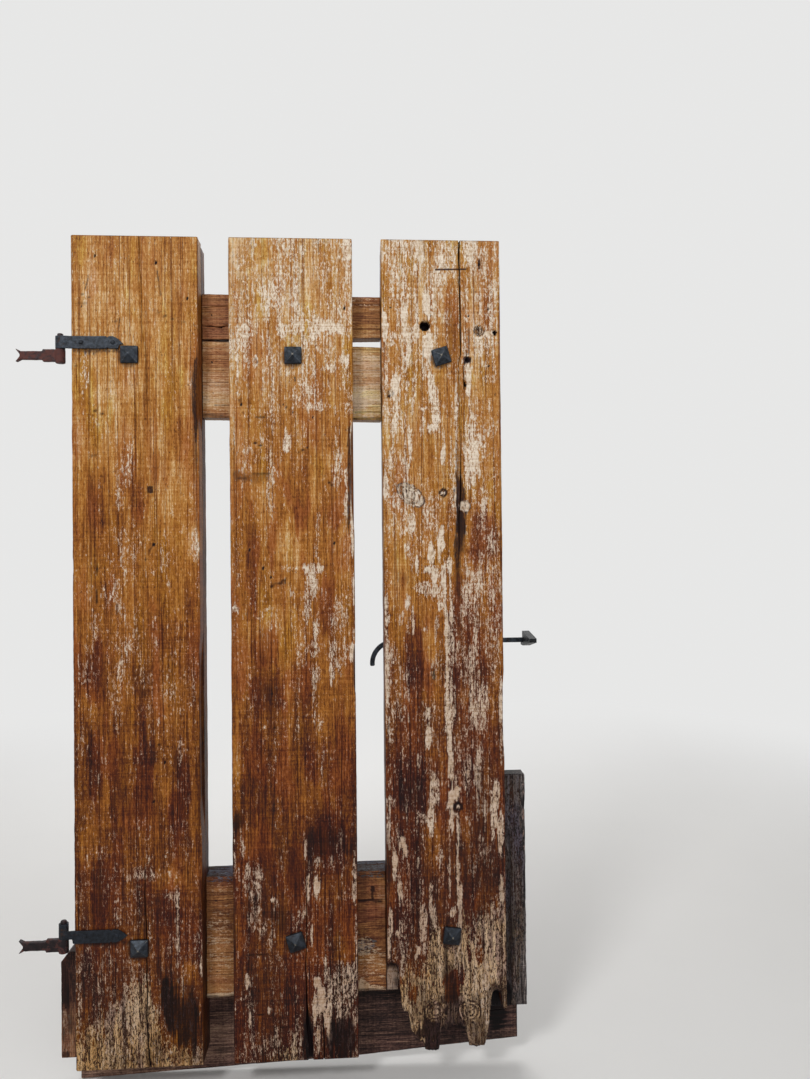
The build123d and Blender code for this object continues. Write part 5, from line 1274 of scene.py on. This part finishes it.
# Iron: bars carried along a path, and turned or squared forms carried round an axis.
# A rounded bar's outline as shares of its half sides and corner radius: right side, top, left side, underside
def barSection(nHigh, nThick):
    s, c = np.sin(np.radians([30, 60])), np.cos(np.radians([30, 60]))
    up, across = np.linspace(-1, 1, nHigh), np.linspace(1, -1, nThick)
    a, b, two = np.ones(nHigh), np.ones(nThick), np.ones(2)
    sideShare = [a, two, across, -two, -a, -two, across[::-1], two]
    sideRound = [a, c, 0 * across, -s, -a, -c, 0 * across, s]
    upShare = [up, two, b, two, up[::-1], -two, -b, -two]
    upRound = [0 * up, s, b, c, 0 * up, -s, -b, -c]
    return [np.concatenate(x)[None, :] for x in (sideShare, sideRound, upShare, upRound)]


# the direction of a path at each of its points
def directions(path):
    tangent = np.gradient(path, axis=0)
    return tangent / np.linalg.norm(tangent, axis=1)[:, None]


# one vector, count times
def repeated(vector, count):
    return np.repeat([vector], count, 0)


# rings of a bar: path point + side share * thickness direction + up share * height direction, dented by noise
def barRings(path, tangent, upward, halfThick, halfHigh, corner, seed, dent, counts):
    su, cu, sv, cv = barSection(*counts)
    sideways = np.cross(upward, tangent)
    sideways /= np.linalg.norm(sideways, axis=1)[:, None]
    halfThick, halfHigh = np.asarray(halfThick)[:, None], np.asarray(halfHigh)[:, None]
    corner = np.minimum(corner, np.minimum(halfThick, halfHigh) * 0.9)
    u = su * (halfThick - corner) + cu * corner
    v = sv * (halfHigh - corner) + cv * corner
    run = np.concatenate([[0], np.cumsum(np.linalg.norm(np.diff(path, axis=0), axis=1))])[:, None]
    soft = halfNoise(run / 7 + u / 9, v / 8 + u / 3, seed, 3)
    u = u - np.sign(u) * np.minimum(dent * soft, halfThick * 0.3) * (np.abs(u) > 0.2)
    v = v - np.sign(v) * np.minimum(dent * soft, halfHigh * 0.3) * (np.abs(sv) > 0.9)
    return path[:, None, :] + u[..., None] * sideways[:, None, :] + v[..., None] * upward[:, None, :]


roundKit = {"threadDeep": 0.42, "threadLong": 24, "threadFade": 4, "squareness": 26}


# rings round an axis: radius * ((1 - square) + square / norm of the direction), from a circle to a polygon
def roundRings(centre, axis, places, radii, square, turn, count, seed, dent=0.0, sides=4, thread=0.0):
    phi = np.linspace(0, 2 * math.pi, count, endpoint=False)[None, :]
    lean = phi - turn
    if sides == 4:
        power = roundKit["squareness"]
        norm = (np.abs(np.cos(lean)) ** power + np.abs(np.sin(lean)) ** power) ** (1 / power)
    else:
        norm = np.cos((lean + math.pi / sides) % (2 * math.pi / sides) - math.pi / sides)
    places, radii, square = (np.asarray(x, float)[:, None] for x in (places, radii, square))
    reach = radii * ((1 - square) + square / norm)
    if thread:
        wave = np.abs(((places / thread - phi / (2 * math.pi)) % 1.0) * 2 - 1)
        start = places.max() - roundKit["threadLong"]
        cut = ease(places, start, start + roundKit["threadFade"]) * (square < 0.01)
        cut = cut * (radii > radii[-1] * 0.99)
        reach = reach - roundKit["threadDeep"] * wave * cut
    u, v = {"Y": ((0, 0, 1), (1, 0, 0)), "Z": ((1, 0, 0), (0, 1, 0))}[axis]
    a, b = reach * np.cos(phi), reach * np.sin(phi)
    if dent:
        soft = halfNoise(a / 9 + places / 6, b / 9 - places / 7, seed, 3)
        shrink = 1 - dent * soft / np.maximum(reach, 3)
        a, b = a * shrink, b * shrink
    # hammered faces: squared rings that still grow are dented along the axis too
    hammered = (square > 0.5) * (np.gradient(radii[:, 0])[:, None] > 0.05)
    along = places + 0.45 * dent * (softNoise(a / 7, b / 7, seed + 1, 3) + 1) * hammered
    ring = np.asarray(centre, float) + a[..., None] * np.array(u, float) + b[..., None] * np.array(v, float)
    return ring + along[..., None] * np.cross(u, v)


# a tube over rows of rings: closed by its two end rings, or joined end to start where it loops
def shell(rings, loop=False):
    rows, n = rings.shape[:2]
    i = np.arange(n)
    j = np.arange(rows if loop else rows - 1)[:, None]
    after = (j + 1) % rows
    quads = np.stack([j * n + i, j * n + (i + 1) % n, after * n + (i + 1) % n, after * n + i], -1)
    ends = [] if loop else [i[::-1].copy(), (rows - 1) * n + i]
    return rings.reshape(-1, 3), quads.reshape(-1, 4), ends


# a closed loop of rings round the Y axis, out over a disc and back through its hole
def disc(centre, places, radii, square, seed, dent=0.0, sides=4):
    return shell(roundRings(centre, "Y", places, radii, square, 0.0, 48, seed, dent, sides), True)


# shells joined to one piece; look gives bright edges, rust and soot at each point, the soot also carrying the
# bolts' painted shade
def ironPiece(name, shells, look, finish, body="gate_leaf"):
    points, quads, ends, start = [], [], [], 0
    for p, q, e in shells:
        points.append(p)
        quads.append(q + start)
        ends += [x + start for x in e]
        start += len(p)
    points = np.concatenate(points)
    made = meshPiece(name + "_forged", points, np.concatenate(quads), ends)
    setLook(made, "iron", np.stack([value + 0 * points[:, 0] for value in look(*points.T)], 1))
    made.data.materials.append(finish)
    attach(made, body)
    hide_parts(name)
    print(made.name, len(made.data.polygons), "faces")


# hammer marks, grit and patches: scale, detail, roughness, shift and warp of each noise
ironNoises = {"hammer": (110, 3, 0.5, 0, 0.3), "grit": (800, 4, 0.65, 2, 0.0), "patch": (45, 5, 0.68, 4, 0.6)}
ironColours = {"soot": (0.28, 0.28, 0.31, 1), "shine": (0.30, 0.27, 0.22, 1)}
ironKit = {
    "blackIron": {"low": (0.009, 0.012, 0.017), "high": (0.066, 0.084, 0.108), "rust": (0.055, 0.024, 0.014),
                  "rusted": -0.05, "shift": 0, "metallic": 0.60, "glint": 0.5},
    "rustyIron": {"low": (0.015, 0.011, 0.014), "high": (0.070, 0.040, 0.040), "rust": (0.115, 0.032, 0.024),
                  "rusted": 0.10, "shift": 5, "metallic": 0.60, "glint": 0.5},
    "keeperIron": {"low": (0.004, 0.004, 0.005), "high": (0.013, 0.014, 0.016), "rust": (0.020, 0.010, 0.008),
                   "rusted": -0.02, "shift": 3, "metallic": 0.0, "glint": 0.12},
    "screwSteel": {"low": (0.110, 0.100, 0.090), "high": (0.260, 0.240, 0.210), "rust": (0.100, 0.048, 0.026),
                   "rusted": 0.05, "shift": 9, "metallic": 0.60, "glint": 0.5},
}


# forged iron: hammered, gritty and scaled; the attribute carries bright edges, rust, and soot together with
# painted shade
def forgedIron(name, spec):
    mat, tree = newMaterial(name)
    glint, metallic, rust, rusted = (spec[key] for key in ("glint", "metallic", "rust", "rusted"))
    look = node(tree, "ShaderNodeAttribute", attribute_name="iron").outputs["Color"]
    bright, rustier, soot = node(tree, "ShaderNodeSeparateColor", {0: look}).outputs
    hammer, grit, patch = (grainNoise(tree, (scale,) * 3, detail, rough, spec["shift"] + own, warp)
                           for scale, detail, rough, own, warp in ironNoises.values())
    gritOff = calc(tree, "SUBTRACT", grit, 0.5)
    even = blend(tree, grit, 0.5, times(tree, hammer, 0.5))
    tint = mixed(tree, step(tree, even, 0.36, 0.66), (*spec["low"], 1), (*spec["high"], 1))
    tint = mixed(tree, soot, tint, ironColours["soot"], "MULTIPLY")
    flaking = blend(tree, rustier, 0.35, blend(tree, gritOff, 0.45, patch))
    rusty = step(tree, flaking, 0.66 - rusted, 0.76 - rusted)
    tint = mixed(tree, rusty, tint, mixed(tree, hammer, (*[c * 0.45 for c in rust], 1), (*rust, 1)))
    shine = step(tree, blend(tree, gritOff, 1.2, bright), 0.42, 0.80)
    tint = mixed(tree, times(tree, shine, 1.5 * glint), tint, ironColours["shine"])
    rough = blend(tree, soot, 0.16, blend(tree, rusty, 0.34, blend(tree, grit, 0.25, 0.24)))
    height = blend(tree, rusty, 0.20, blend(tree, grit, 0.30, hammer))
    metal = blend(tree, rusty, -0.8 * metallic, metallic)
    bump = bumped(tree, height, 0.8, 0.0012)
    finishMaterial(tree, {"Base Color": tint, "Roughness": rough, "Metallic": metal, "Normal": bump}, glint)
    return mat


blackIron, rustyIron, keeperIron, screwSteel = (forgedIron(name, spec) for name, spec in ironKit.items())

# bolts: each one's place across, how far it is turned, and how sooty it is
boltKit = {
    "front": -5.0, "square": 42.0, "rim": 5.0, "high": 18.0, "tip": 0.06, "shank": 6.0, "pitch": 1.75,
    # the lower and right soot values darken the head's lower and right faces: painted shade
    "dent": 0.55, "bulge": 0.35, "threaded": 21.0, "ridgeShine": 0.75, "lowerFacetShade": 0.62, "rightFacetShade": 0.30,
    "rows": [
        {"z": 1417.5, "end": 106.0, "seed": 200,
         "bolts": [("upper_left_bolt", 205.0, 0.0, 0.15), ("upper_middle_bolt", 598.0, 0.0, 0.0),
                   ("upper_right_bolt", 963.0, 17.0, 0.10)]},
        {"z": -12.5, "end": 131.0, "seed": 207,
         "bolts": [("lower_left_bolt", 220.0, 0.0, 0.45), ("lower_middle_bolt", 594.0, 17.0, 0.75),
                   ("lower_right_bolt", 976.0, -8.0, 0.90)]},
    ],
}


# a bolt: square rings grow from tip to rim, drop to the plank, shrink to the round shank and end in a thread
def buildBolt(kit, row, name, x, turn, soot, seed):
    half, front, shank, end, z = kit["square"] / 2, kit["front"], kit["shank"], row["end"], row["z"]
    grow = np.linspace(kit["tip"], 1, 16)
    bulge = kit["bulge"] * np.sin(np.pi * grow)
    rim = front - kit["rim"]
    places = np.concatenate([front - kit["high"] + (kit["high"] - kit["rim"]) * grow - bulge,
                             [rim + 0.6, rim + 2.0, front - 0.5, front - 0.06, front - 0.06, front + 0.3],
                             np.linspace(front + 1, end - kit["threaded"] - 1, 4),
                             np.linspace(end - kit["threaded"], end - 1.2, 48), [end]])
    radii = np.concatenate([half * grow, half * np.array([1.0, 1.0, 1.0, 0.985, 0.5]), np.full(53, shank),
                            [shank - 1.2]])
    square = np.concatenate([np.ones(16), [1, 1, 1, 1, 0.8, 0], np.zeros(53)])
    turned = math.radians(turn)
    rings = roundRings((x, 0, z), "Y", places, radii, square, -turned, 72, seed, kit["dent"],
                       thread=kit["pitch"])

    # bright ridges and crown; soot on the shank, and painted shade on the two faces that look down and right
    def look(px, py, pz):
        across = (px - x) * math.cos(turned) + (pz - z) * math.sin(turned)
        upward = (pz - z) * math.cos(turned) - (px - x) * math.sin(turned)
        u, v = np.abs(across), np.abs(upward)
        far = np.maximum(u, v)
        ridge = (1 - ease(np.abs(u - v), 0.3, 2.2)) * (far < half) * (py < rim)
        crown = 1 - ease(far, 1.5, 4.5)
        uneven = 0.55 + 0.55 * softNoise(px / 8, pz / 8, seed + 5, 2)
        # painted shade on the faces that look down and right
        under = kit["lowerFacetShade"] * ease(-upward - u, -1.0, 3.0)
        under = under + kit["rightFacetShade"] * ease(across - v, -1.0, 3.0)
        grimeAndShade = np.clip(soot + under * (1 - soot) + 0.8 * (py > rim), 0, 1) * (py < 20)
        bright = np.maximum(ridge * kit["ridgeShine"], crown) * uneven * (py < front)
        return np.clip(bright, 0, 1), 0.1 + 0.25 * (py > 40), grimeAndShade

    ironPiece(name, [shell(rings)], look, blackIron)


for row in boltKit["rows"]:
    for n, (name, x, turn, soot) in enumerate(row["bolts"]):
        buildBolt(boltKit, row, name, x, turn, soot, row["seed"] + n)

# washers and nuts behind the leaf: closed loops of rings, outside and back through the hole
backIron = {
    "washerHalf": 20.0, "washerThick": 4.0, "washerBevel": 0.7, "hole": 6.3, "washerDent": 0.25,
    "washerSeed": 300, "nutHalf": 9.5, "nutHigh": 10.0, "nutHole": 6.15, "nutSeed": 320,
    "faces": (85.0, 110.0), "gap": 0.05,
}


def buildBackIron(kit):
    washers, nuts = [], []
    for row, face in zip(boltKit["rows"], kit["faces"]):
        for n, bolt in enumerate(row["bolts"]):
            centre = (bolt[1], 0, row["z"])
            out, thick, hole, bevel = kit["washerHalf"], kit["washerThick"], kit["hole"], kit["washerBevel"]
            low, high = face + kit["gap"], face + thick
            places = [low, low, low + bevel, high - bevel, high, high, high, low]
            radii = [hole + 4, out - bevel, out, out, out - bevel, hole + 4, hole, hole]
            square = [0.3, 1, 1, 1, 1, 0.3, 0, 0]
            washers.append(disc(centre, places, radii, square, kit["washerSeed"] + n, kit["washerDent"]))
            low, high = face + thick + kit["gap"], face + thick + kit["nutHigh"]
            out, hole = kit["nutHalf"], kit["nutHole"]
            places = [low, low, low + 1.2, high - 1.6, high, high, high, low]
            radii = [hole + 1, out - 0.5, out, out, out - 0.9, hole + 1, hole, hole]
            square = [0, 0.55, 1, 1, 0.35, 0, 0, 0]
            nuts.append(disc(centre, places, radii, square, kit["nutSeed"] + n, sides=6))

    def look(px, py, pz):
        return 0.0, 0.35 + 0.25 * softNoise(px / 30, pz / 30, 9, 2), 0.0

    ironPiece("bolt_washers", washers, look, rustyIron)
    ironPiece("bolt_nuts", nuts, look, blackIron)


buildBackIron(backIron)

# strap hinges: one flat bar, rolled round the pin, cranked down to the plank and run out to a leaf
strapKit = {
    "axisX": 40.5, "eyeRadius": 9.28, "wall": 4.4, "thick": 4.5, "plateY": -7.25, "plateStart": 64.0,
    "tipX": 192.0, "point": 26.0, "high": 31.0, "nickX": 154.0, "nick": 2.5, "eyeStart": -25.0,
    "uneven": 0.22, "taper": 1.55, "tipThin": 0.6, "corner": 0.9, "dent": 0.32, "edgeShine": 0.34,
    "straps": [
        {"name": "upper_hinge_strap", "low": 1430.5, "eyeLow": 1430.8, "eyeHigh": 31.0, "tipUp": 12.0,
         "under": [(178.6, 0.0), (182.6, 9.4), (192.0, 12.0)], "soot": 0.62, "rust": 0.10, "seed": 401},
        {"name": "lower_hinge_strap", "low": 4.5, "eyeLow": 15.8, "eyeHigh": 36.0, "tipUp": 15.5,
         "under": [(166.0, 0.0), (174.0, 2.2), (184.0, 8.1), (192.0, 15.5)], "soot": 0.95, "rust": 0.10,
         "seed": 431},
    ],
}


# over and under are the bar's two edges: the eye's, the neck's, then the plate's with its nick and its point
def buildStrap(kit, spec):
    axisX, r, seed = kit["axisX"], kit["eyeRadius"], spec["seed"]
    phi = np.radians(np.linspace(kit["eyeStart"], 270, 64))
    eye = np.stack([axisX + r * np.cos(phi), r * np.sin(phi), 0 * phi], 1)
    plateStart = kit["plateStart"]
    xs = np.concatenate([np.linspace(axisX + 1.5, plateStart - 1, 14), np.linspace(plateStart, 150, 52),
                         np.linspace(150.8, 157.2, 16), np.linspace(158, kit["tipX"] - 0.2, 40)])
    drop = -r + (kit["plateY"] + r) * ease(xs, axisX + 9, plateStart + 2)
    path = np.concatenate([eye, np.stack([xs, drop, 0 * xs], 1)])
    tangent = directions(path)
    noEye = np.zeros(len(eye))
    onPlate = np.concatenate([noEye, ease(xs, plateStart - 1.5, plateStart + 0.5)])
    onNeck = np.concatenate([noEye, ease(xs, axisX + 8, axisX + 11)])
    x = path[:, 0]
    low, high = spec["low"], spec["low"] + kit["high"]
    eyeLow, eyeTop = spec["eyeLow"], spec["eyeLow"] + spec["eyeHigh"]
    neckLow, neckTop = max(low, eyeLow), min(high, eyeTop)
    under = eyeLow + (neckLow - eyeLow) * onNeck + (low - neckLow) * onPlate
    over = eyeTop + (neckTop - eyeTop) * onNeck + (high - neckTop) * onPlate
    nick = np.sqrt(np.maximum(kit["nick"] ** 2 - (x - kit["nickX"]) ** 2, 0)) * onPlate
    run = np.clip((x - kit["tipX"] + kit["point"]) / kit["point"], 0, 1) * (onPlate > 0.5)
    over = over - nick - (kit["high"] - spec["tipUp"]) * run ** kit["taper"]
    under = under + nick + between(spec["under"], x) * (onPlate > 0.5)
    over = over + kit["uneven"] * (softNoise(x / 17, x * 0, seed, 2) - 1) * onPlate
    under = under - kit["uneven"] * (softNoise(x / 15, x * 0, seed + 3, 2) - 1) * onPlate
    path[:, 2] = (over + under) / 2
    thick = np.where(onNeck > 0.5, kit["thick"], kit["wall"]) / 2 - kit["tipThin"] * ease(run, 0.3, 1.0)
    halfHigh = np.maximum((over - under) / 2, 0.5)
    upward = repeated([0.0, 0.0, 1.0], len(path))
    rings = barRings(path, tangent, upward, thick, halfHigh, kit["corner"], seed, kit["dent"], (15, 4))

    # bright along both edges, rusty at the eye
    def look(px, py, pz):
        edge = np.maximum(*(1 - ease(np.abs(pz - at), 0.3, 1.6) for at in (low, high)))
        bright = kit["edgeShine"] * edge * (0.6 + 0.6 * softNoise(px / 12, pz / 12, seed + 5, 2))
        spots = 0.2 * (softNoise(px / 20, pz / 20, seed + 6, 2) > 0.35)
        return bright, spec["rust"] + 0.25 * (1 - ease(px, 50, 66)) + spots, spec["soot"]

    ironPiece(spec["name"], [shell(rings)], look, blackIron)


for spec in strapKit["straps"]:
    buildStrap(strapKit, spec)

# nails: a hammered head, round and a little uneven, on a thin shank; the profile is from the head's top down
nailKit = {
    "xs": (92.0, 167.0), "zs": (1446.0, 20.0), "front": -9.5, "head": 5.5, "proud": 1.6, "shank": 2.5,
    "end": 28.0, "square": [0.25, 0.25, 0.25, 0.2, 0.2, 0, 0, 0, 0], "seed": 350, "dent": 0.35, "spin": 0.5,
}


def buildNails(kit):
    front, head, proud, shank, end = (kit[key] for key in ("front", "head", "proud", "shank", "end"))
    places = [front - proud, front - proud + 0.15, front - 0.9, front - 0.25, front - 0.02, front - 0.02,
              front + 0.5, end - 4, end]
    radii = [head * 0.30, head * 0.62, head * 0.92, head, head * 0.97, shank + 0.1, shank, shank, 0.4]
    nails = []
    for n, (x, z) in enumerate((x, z) for x in kit["xs"] for z in kit["zs"]):
        rings = roundRings((x, 0, z), "Y", places, radii, kit["square"], kit["spin"] * n, 28, kit["seed"] + n,
                           kit["dent"])
        nails.append(shell(rings))
    ironPiece("strap_nails", nails, lambda px, py, pz: (0.0, 0.30, 1.0), blackIron)


buildNails(nailKit)

# pintles: a rusty arm on edge, split at its hidden end, a barrel with rounded rims and the pin
pintleKit = {
    "axisX": 40.5, "armHalfY": 6.5, "armHigh": 31.0, "armEnd": 37, "barrel": 12.0, "sink": 3.0, "pin": 7.0,
    "tang": 62.0, "split": 10.0, "neck": 0.7, "pointed": 0.86, "corner": 1.6, "dent": 0.6, "barrelDent": 0.7,
    "pintles": [
        {"name": "upper_pintle", "shoulder": 1430.5, "pinTop": 1468.8, "rust": 0.46, "soot": 0.40,
         "seed": 501},
        {"name": "lower_pintle", "shoulder": 15.5, "pinTop": 58.8, "rust": 0.12, "soot": 0.85, "seed": 521},
    ],
}


def buildPintle(kit, spec):
    half, seed, shoulder, top = kit["armHigh"] / 2, spec["seed"], spec["shoulder"], spec["pinTop"]
    mid = shoulder - half

    def bar(xs, lows, highs):
        path = np.stack([xs, 0 * xs, mid + (lows + highs) / 2], 1)
        tangent, upward = repeated([1.0, 0.0, 0.0], len(xs)), repeated([0.0, 0.0, 1.0], len(xs))
        thick = np.full(len(xs), kit["armHalfY"])
        rings = barRings(path, tangent, upward, thick, (highs - lows) / 2, kit["corner"], seed, kit["dent"],
                         (11, 6))
        return shell(rings)

    def turned(places, radii, count, ownSeed, dent):
        centre, square = (kit["axisX"], 0, 0), np.zeros(len(places))
        return shell(roundRings(centre, "Z", places, radii, square, 0, count, ownSeed, dent))

    grow = np.linspace(-kit["tang"] + kit["split"] - 1, kit["armEnd"], 66)
    armHalf = half * (kit["neck"] + (1 - kit["neck"]) * ease(grow, -1.0, 1.0))
    armHalf = armHalf - 0.5 + 0.5 * softNoise(grow / 9, grow * 0, seed + 2, 2)
    prong = np.linspace(-kit["tang"], -kit["tang"] + kit["split"], 10)
    share = (prong + kit["tang"]) / kit["split"]
    inner, outer = half * (1 - share) * kit["pointed"], half * (1 - (1 - kit["neck"]) * share)
    b, pin, barrelLow = kit["barrel"], kit["pin"], shoulder - kit["armHigh"] - kit["sink"]
    barrelPlaces = np.concatenate([[barrelLow, barrelLow, barrelLow + 0.9],
                                   np.linspace(barrelLow + 2.2, shoulder - 2.2, 14),
                                   [shoulder - 0.9, shoulder, shoulder]])
    barrelRadii = np.concatenate([[b * 0.3, b - 1.8, b - 0.5], np.full(14, b), [b - 0.4, b - 1.4, pin - 1.5]])
    pinPlaces = np.concatenate([np.linspace(shoulder - 1, top - 2, 10), [top - 1.0, top - 0.3, top]])
    pinRadii = np.concatenate([np.full(10, pin), [pin - 0.9, pin - 2.0, 2.0]])
    shells = [bar(grow, -armHalf, armHalf), bar(prong, inner, outer), bar(prong, -outer, -inner),
              turned(barrelPlaces, barrelRadii, 56, seed + 3, kit["barrelDent"]),
              turned(pinPlaces, pinRadii, 40, seed + 4, 0.0)]

    # less rust on the pin, more soot on the barrel
    def look(px, py, pz):
        blotch = 0.35 * softNoise(px / 14, pz / 14, seed + 7, 2)
        return 0.0, spec["rust"] + blotch - 0.3 * (pz > shoulder), spec["soot"] + 0.3 * (px > 44)

    ironPiece(spec["name"], shells, look, rustyIron, "wall_hardware")


for spec in pintleKit["pintles"]:
    buildPintle(pintleKit, spec)

# latch: the bar's hand end is an arc that falls into the gap, and a boss loops round the pivot
latchKit = {
    "pivotX": 887.0, "pivotZ": 701.5, "y": 89.5, "halfThick": 4.0, "halfHigh": 6.25, "bend": 842.0,
    "radius": 54.1, "arcEnd": 184.1, "end": 1188.0, "boss": 13.0, "hole": 5.06, "start": 7, "handSeed": 601,
    "barSeed": 607, "handTaper": [0.50, 0.78, 0.95, 1.0], "barTaper": [0.92, 0.64], "corner": 1.2,
    "dent": 0.4, "bossBevel": 0.9, "bossSeed": 611,
}


def buildLatch(kit):
    x0, z0, y, end = kit["pivotX"], kit["pivotZ"], kit["y"], kit["end"]
    turn = np.radians(np.linspace(kit["arcEnd"], 90, 40))
    arcZ = z0 - kit["radius"] + kit["radius"] * np.sin(turn)
    arc = np.stack([kit["bend"] + kit["radius"] * np.cos(turn), 0 * turn + y, arcZ], 1)
    handX = np.linspace(kit["bend"] + 2, x0 - kit["start"], 14)
    tip = arc[:1] + (arc[:1] - arc[1:2]) * np.array([[1.15], [0.85], [0.45]])
    hand = np.concatenate([tip, arc, np.stack([handX, 0 * handX + y, 0 * handX + z0], 1)])
    barX = np.concatenate([np.linspace(x0 + kit["start"], end - 3, 90), [end - 1.2, end]])
    bar = np.stack([barX, 0 * barX + y, 0 * barX + z0], 1)
    taper, rightTaper = np.ones(len(hand)), np.ones(len(bar))
    taper[:4] = kit["handTaper"]
    rightTaper[-2:] = kit["barTaper"]
    shells = []
    for path, share, seed in ((hand, taper, kit["handSeed"]), (bar, rightTaper, kit["barSeed"])):
        tangent = directions(path)
        upward = np.cross(tangent, repeated([0.0, 1.0, 0.0], len(path)))
        thick = np.full(len(path), kit["halfThick"])
        halfHigh = kit["halfHigh"] * share
        rings = barRings(path, tangent, upward, thick, halfHigh, kit["corner"], seed, kit["dent"], (7, 5))
        shells.append(shell(rings))
    low, high = y - kit["halfThick"], y + kit["halfThick"]
    boss, hole, bevel = kit["boss"], kit["hole"], kit["bossBevel"]
    places = [low, low, low + 1, high - 1, high, high, high, low]
    radii = [hole + 2, boss - bevel, boss, boss, boss - bevel, hole + 2, hole, hole]
    shells.append(disc((x0, 0, z0), places, radii, np.zeros(8), kit["bossSeed"]))

    def look(px, py, pz):
        return 0.15, 0.25 + 0.2 * softNoise(px / 30, pz / 10, 613, 2), 0.4

    ironPiece("latch_bar", shells, look, blackIron, "latch")


buildLatch(latchKit)

finishes = {"back_board_screws": screwSteel, "cover_strip_screws": screwSteel, "rail_pegs": frameTimber,
            "latch_keeper": keeperIron, "latch_guide": keeperIron, "latch_pivot": keeperIron}
for name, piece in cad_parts.items():
    piece.data.materials.clear()
    piece.data.materials.append(finishes.get(name, blackIron))
print("CAD nodes finished")
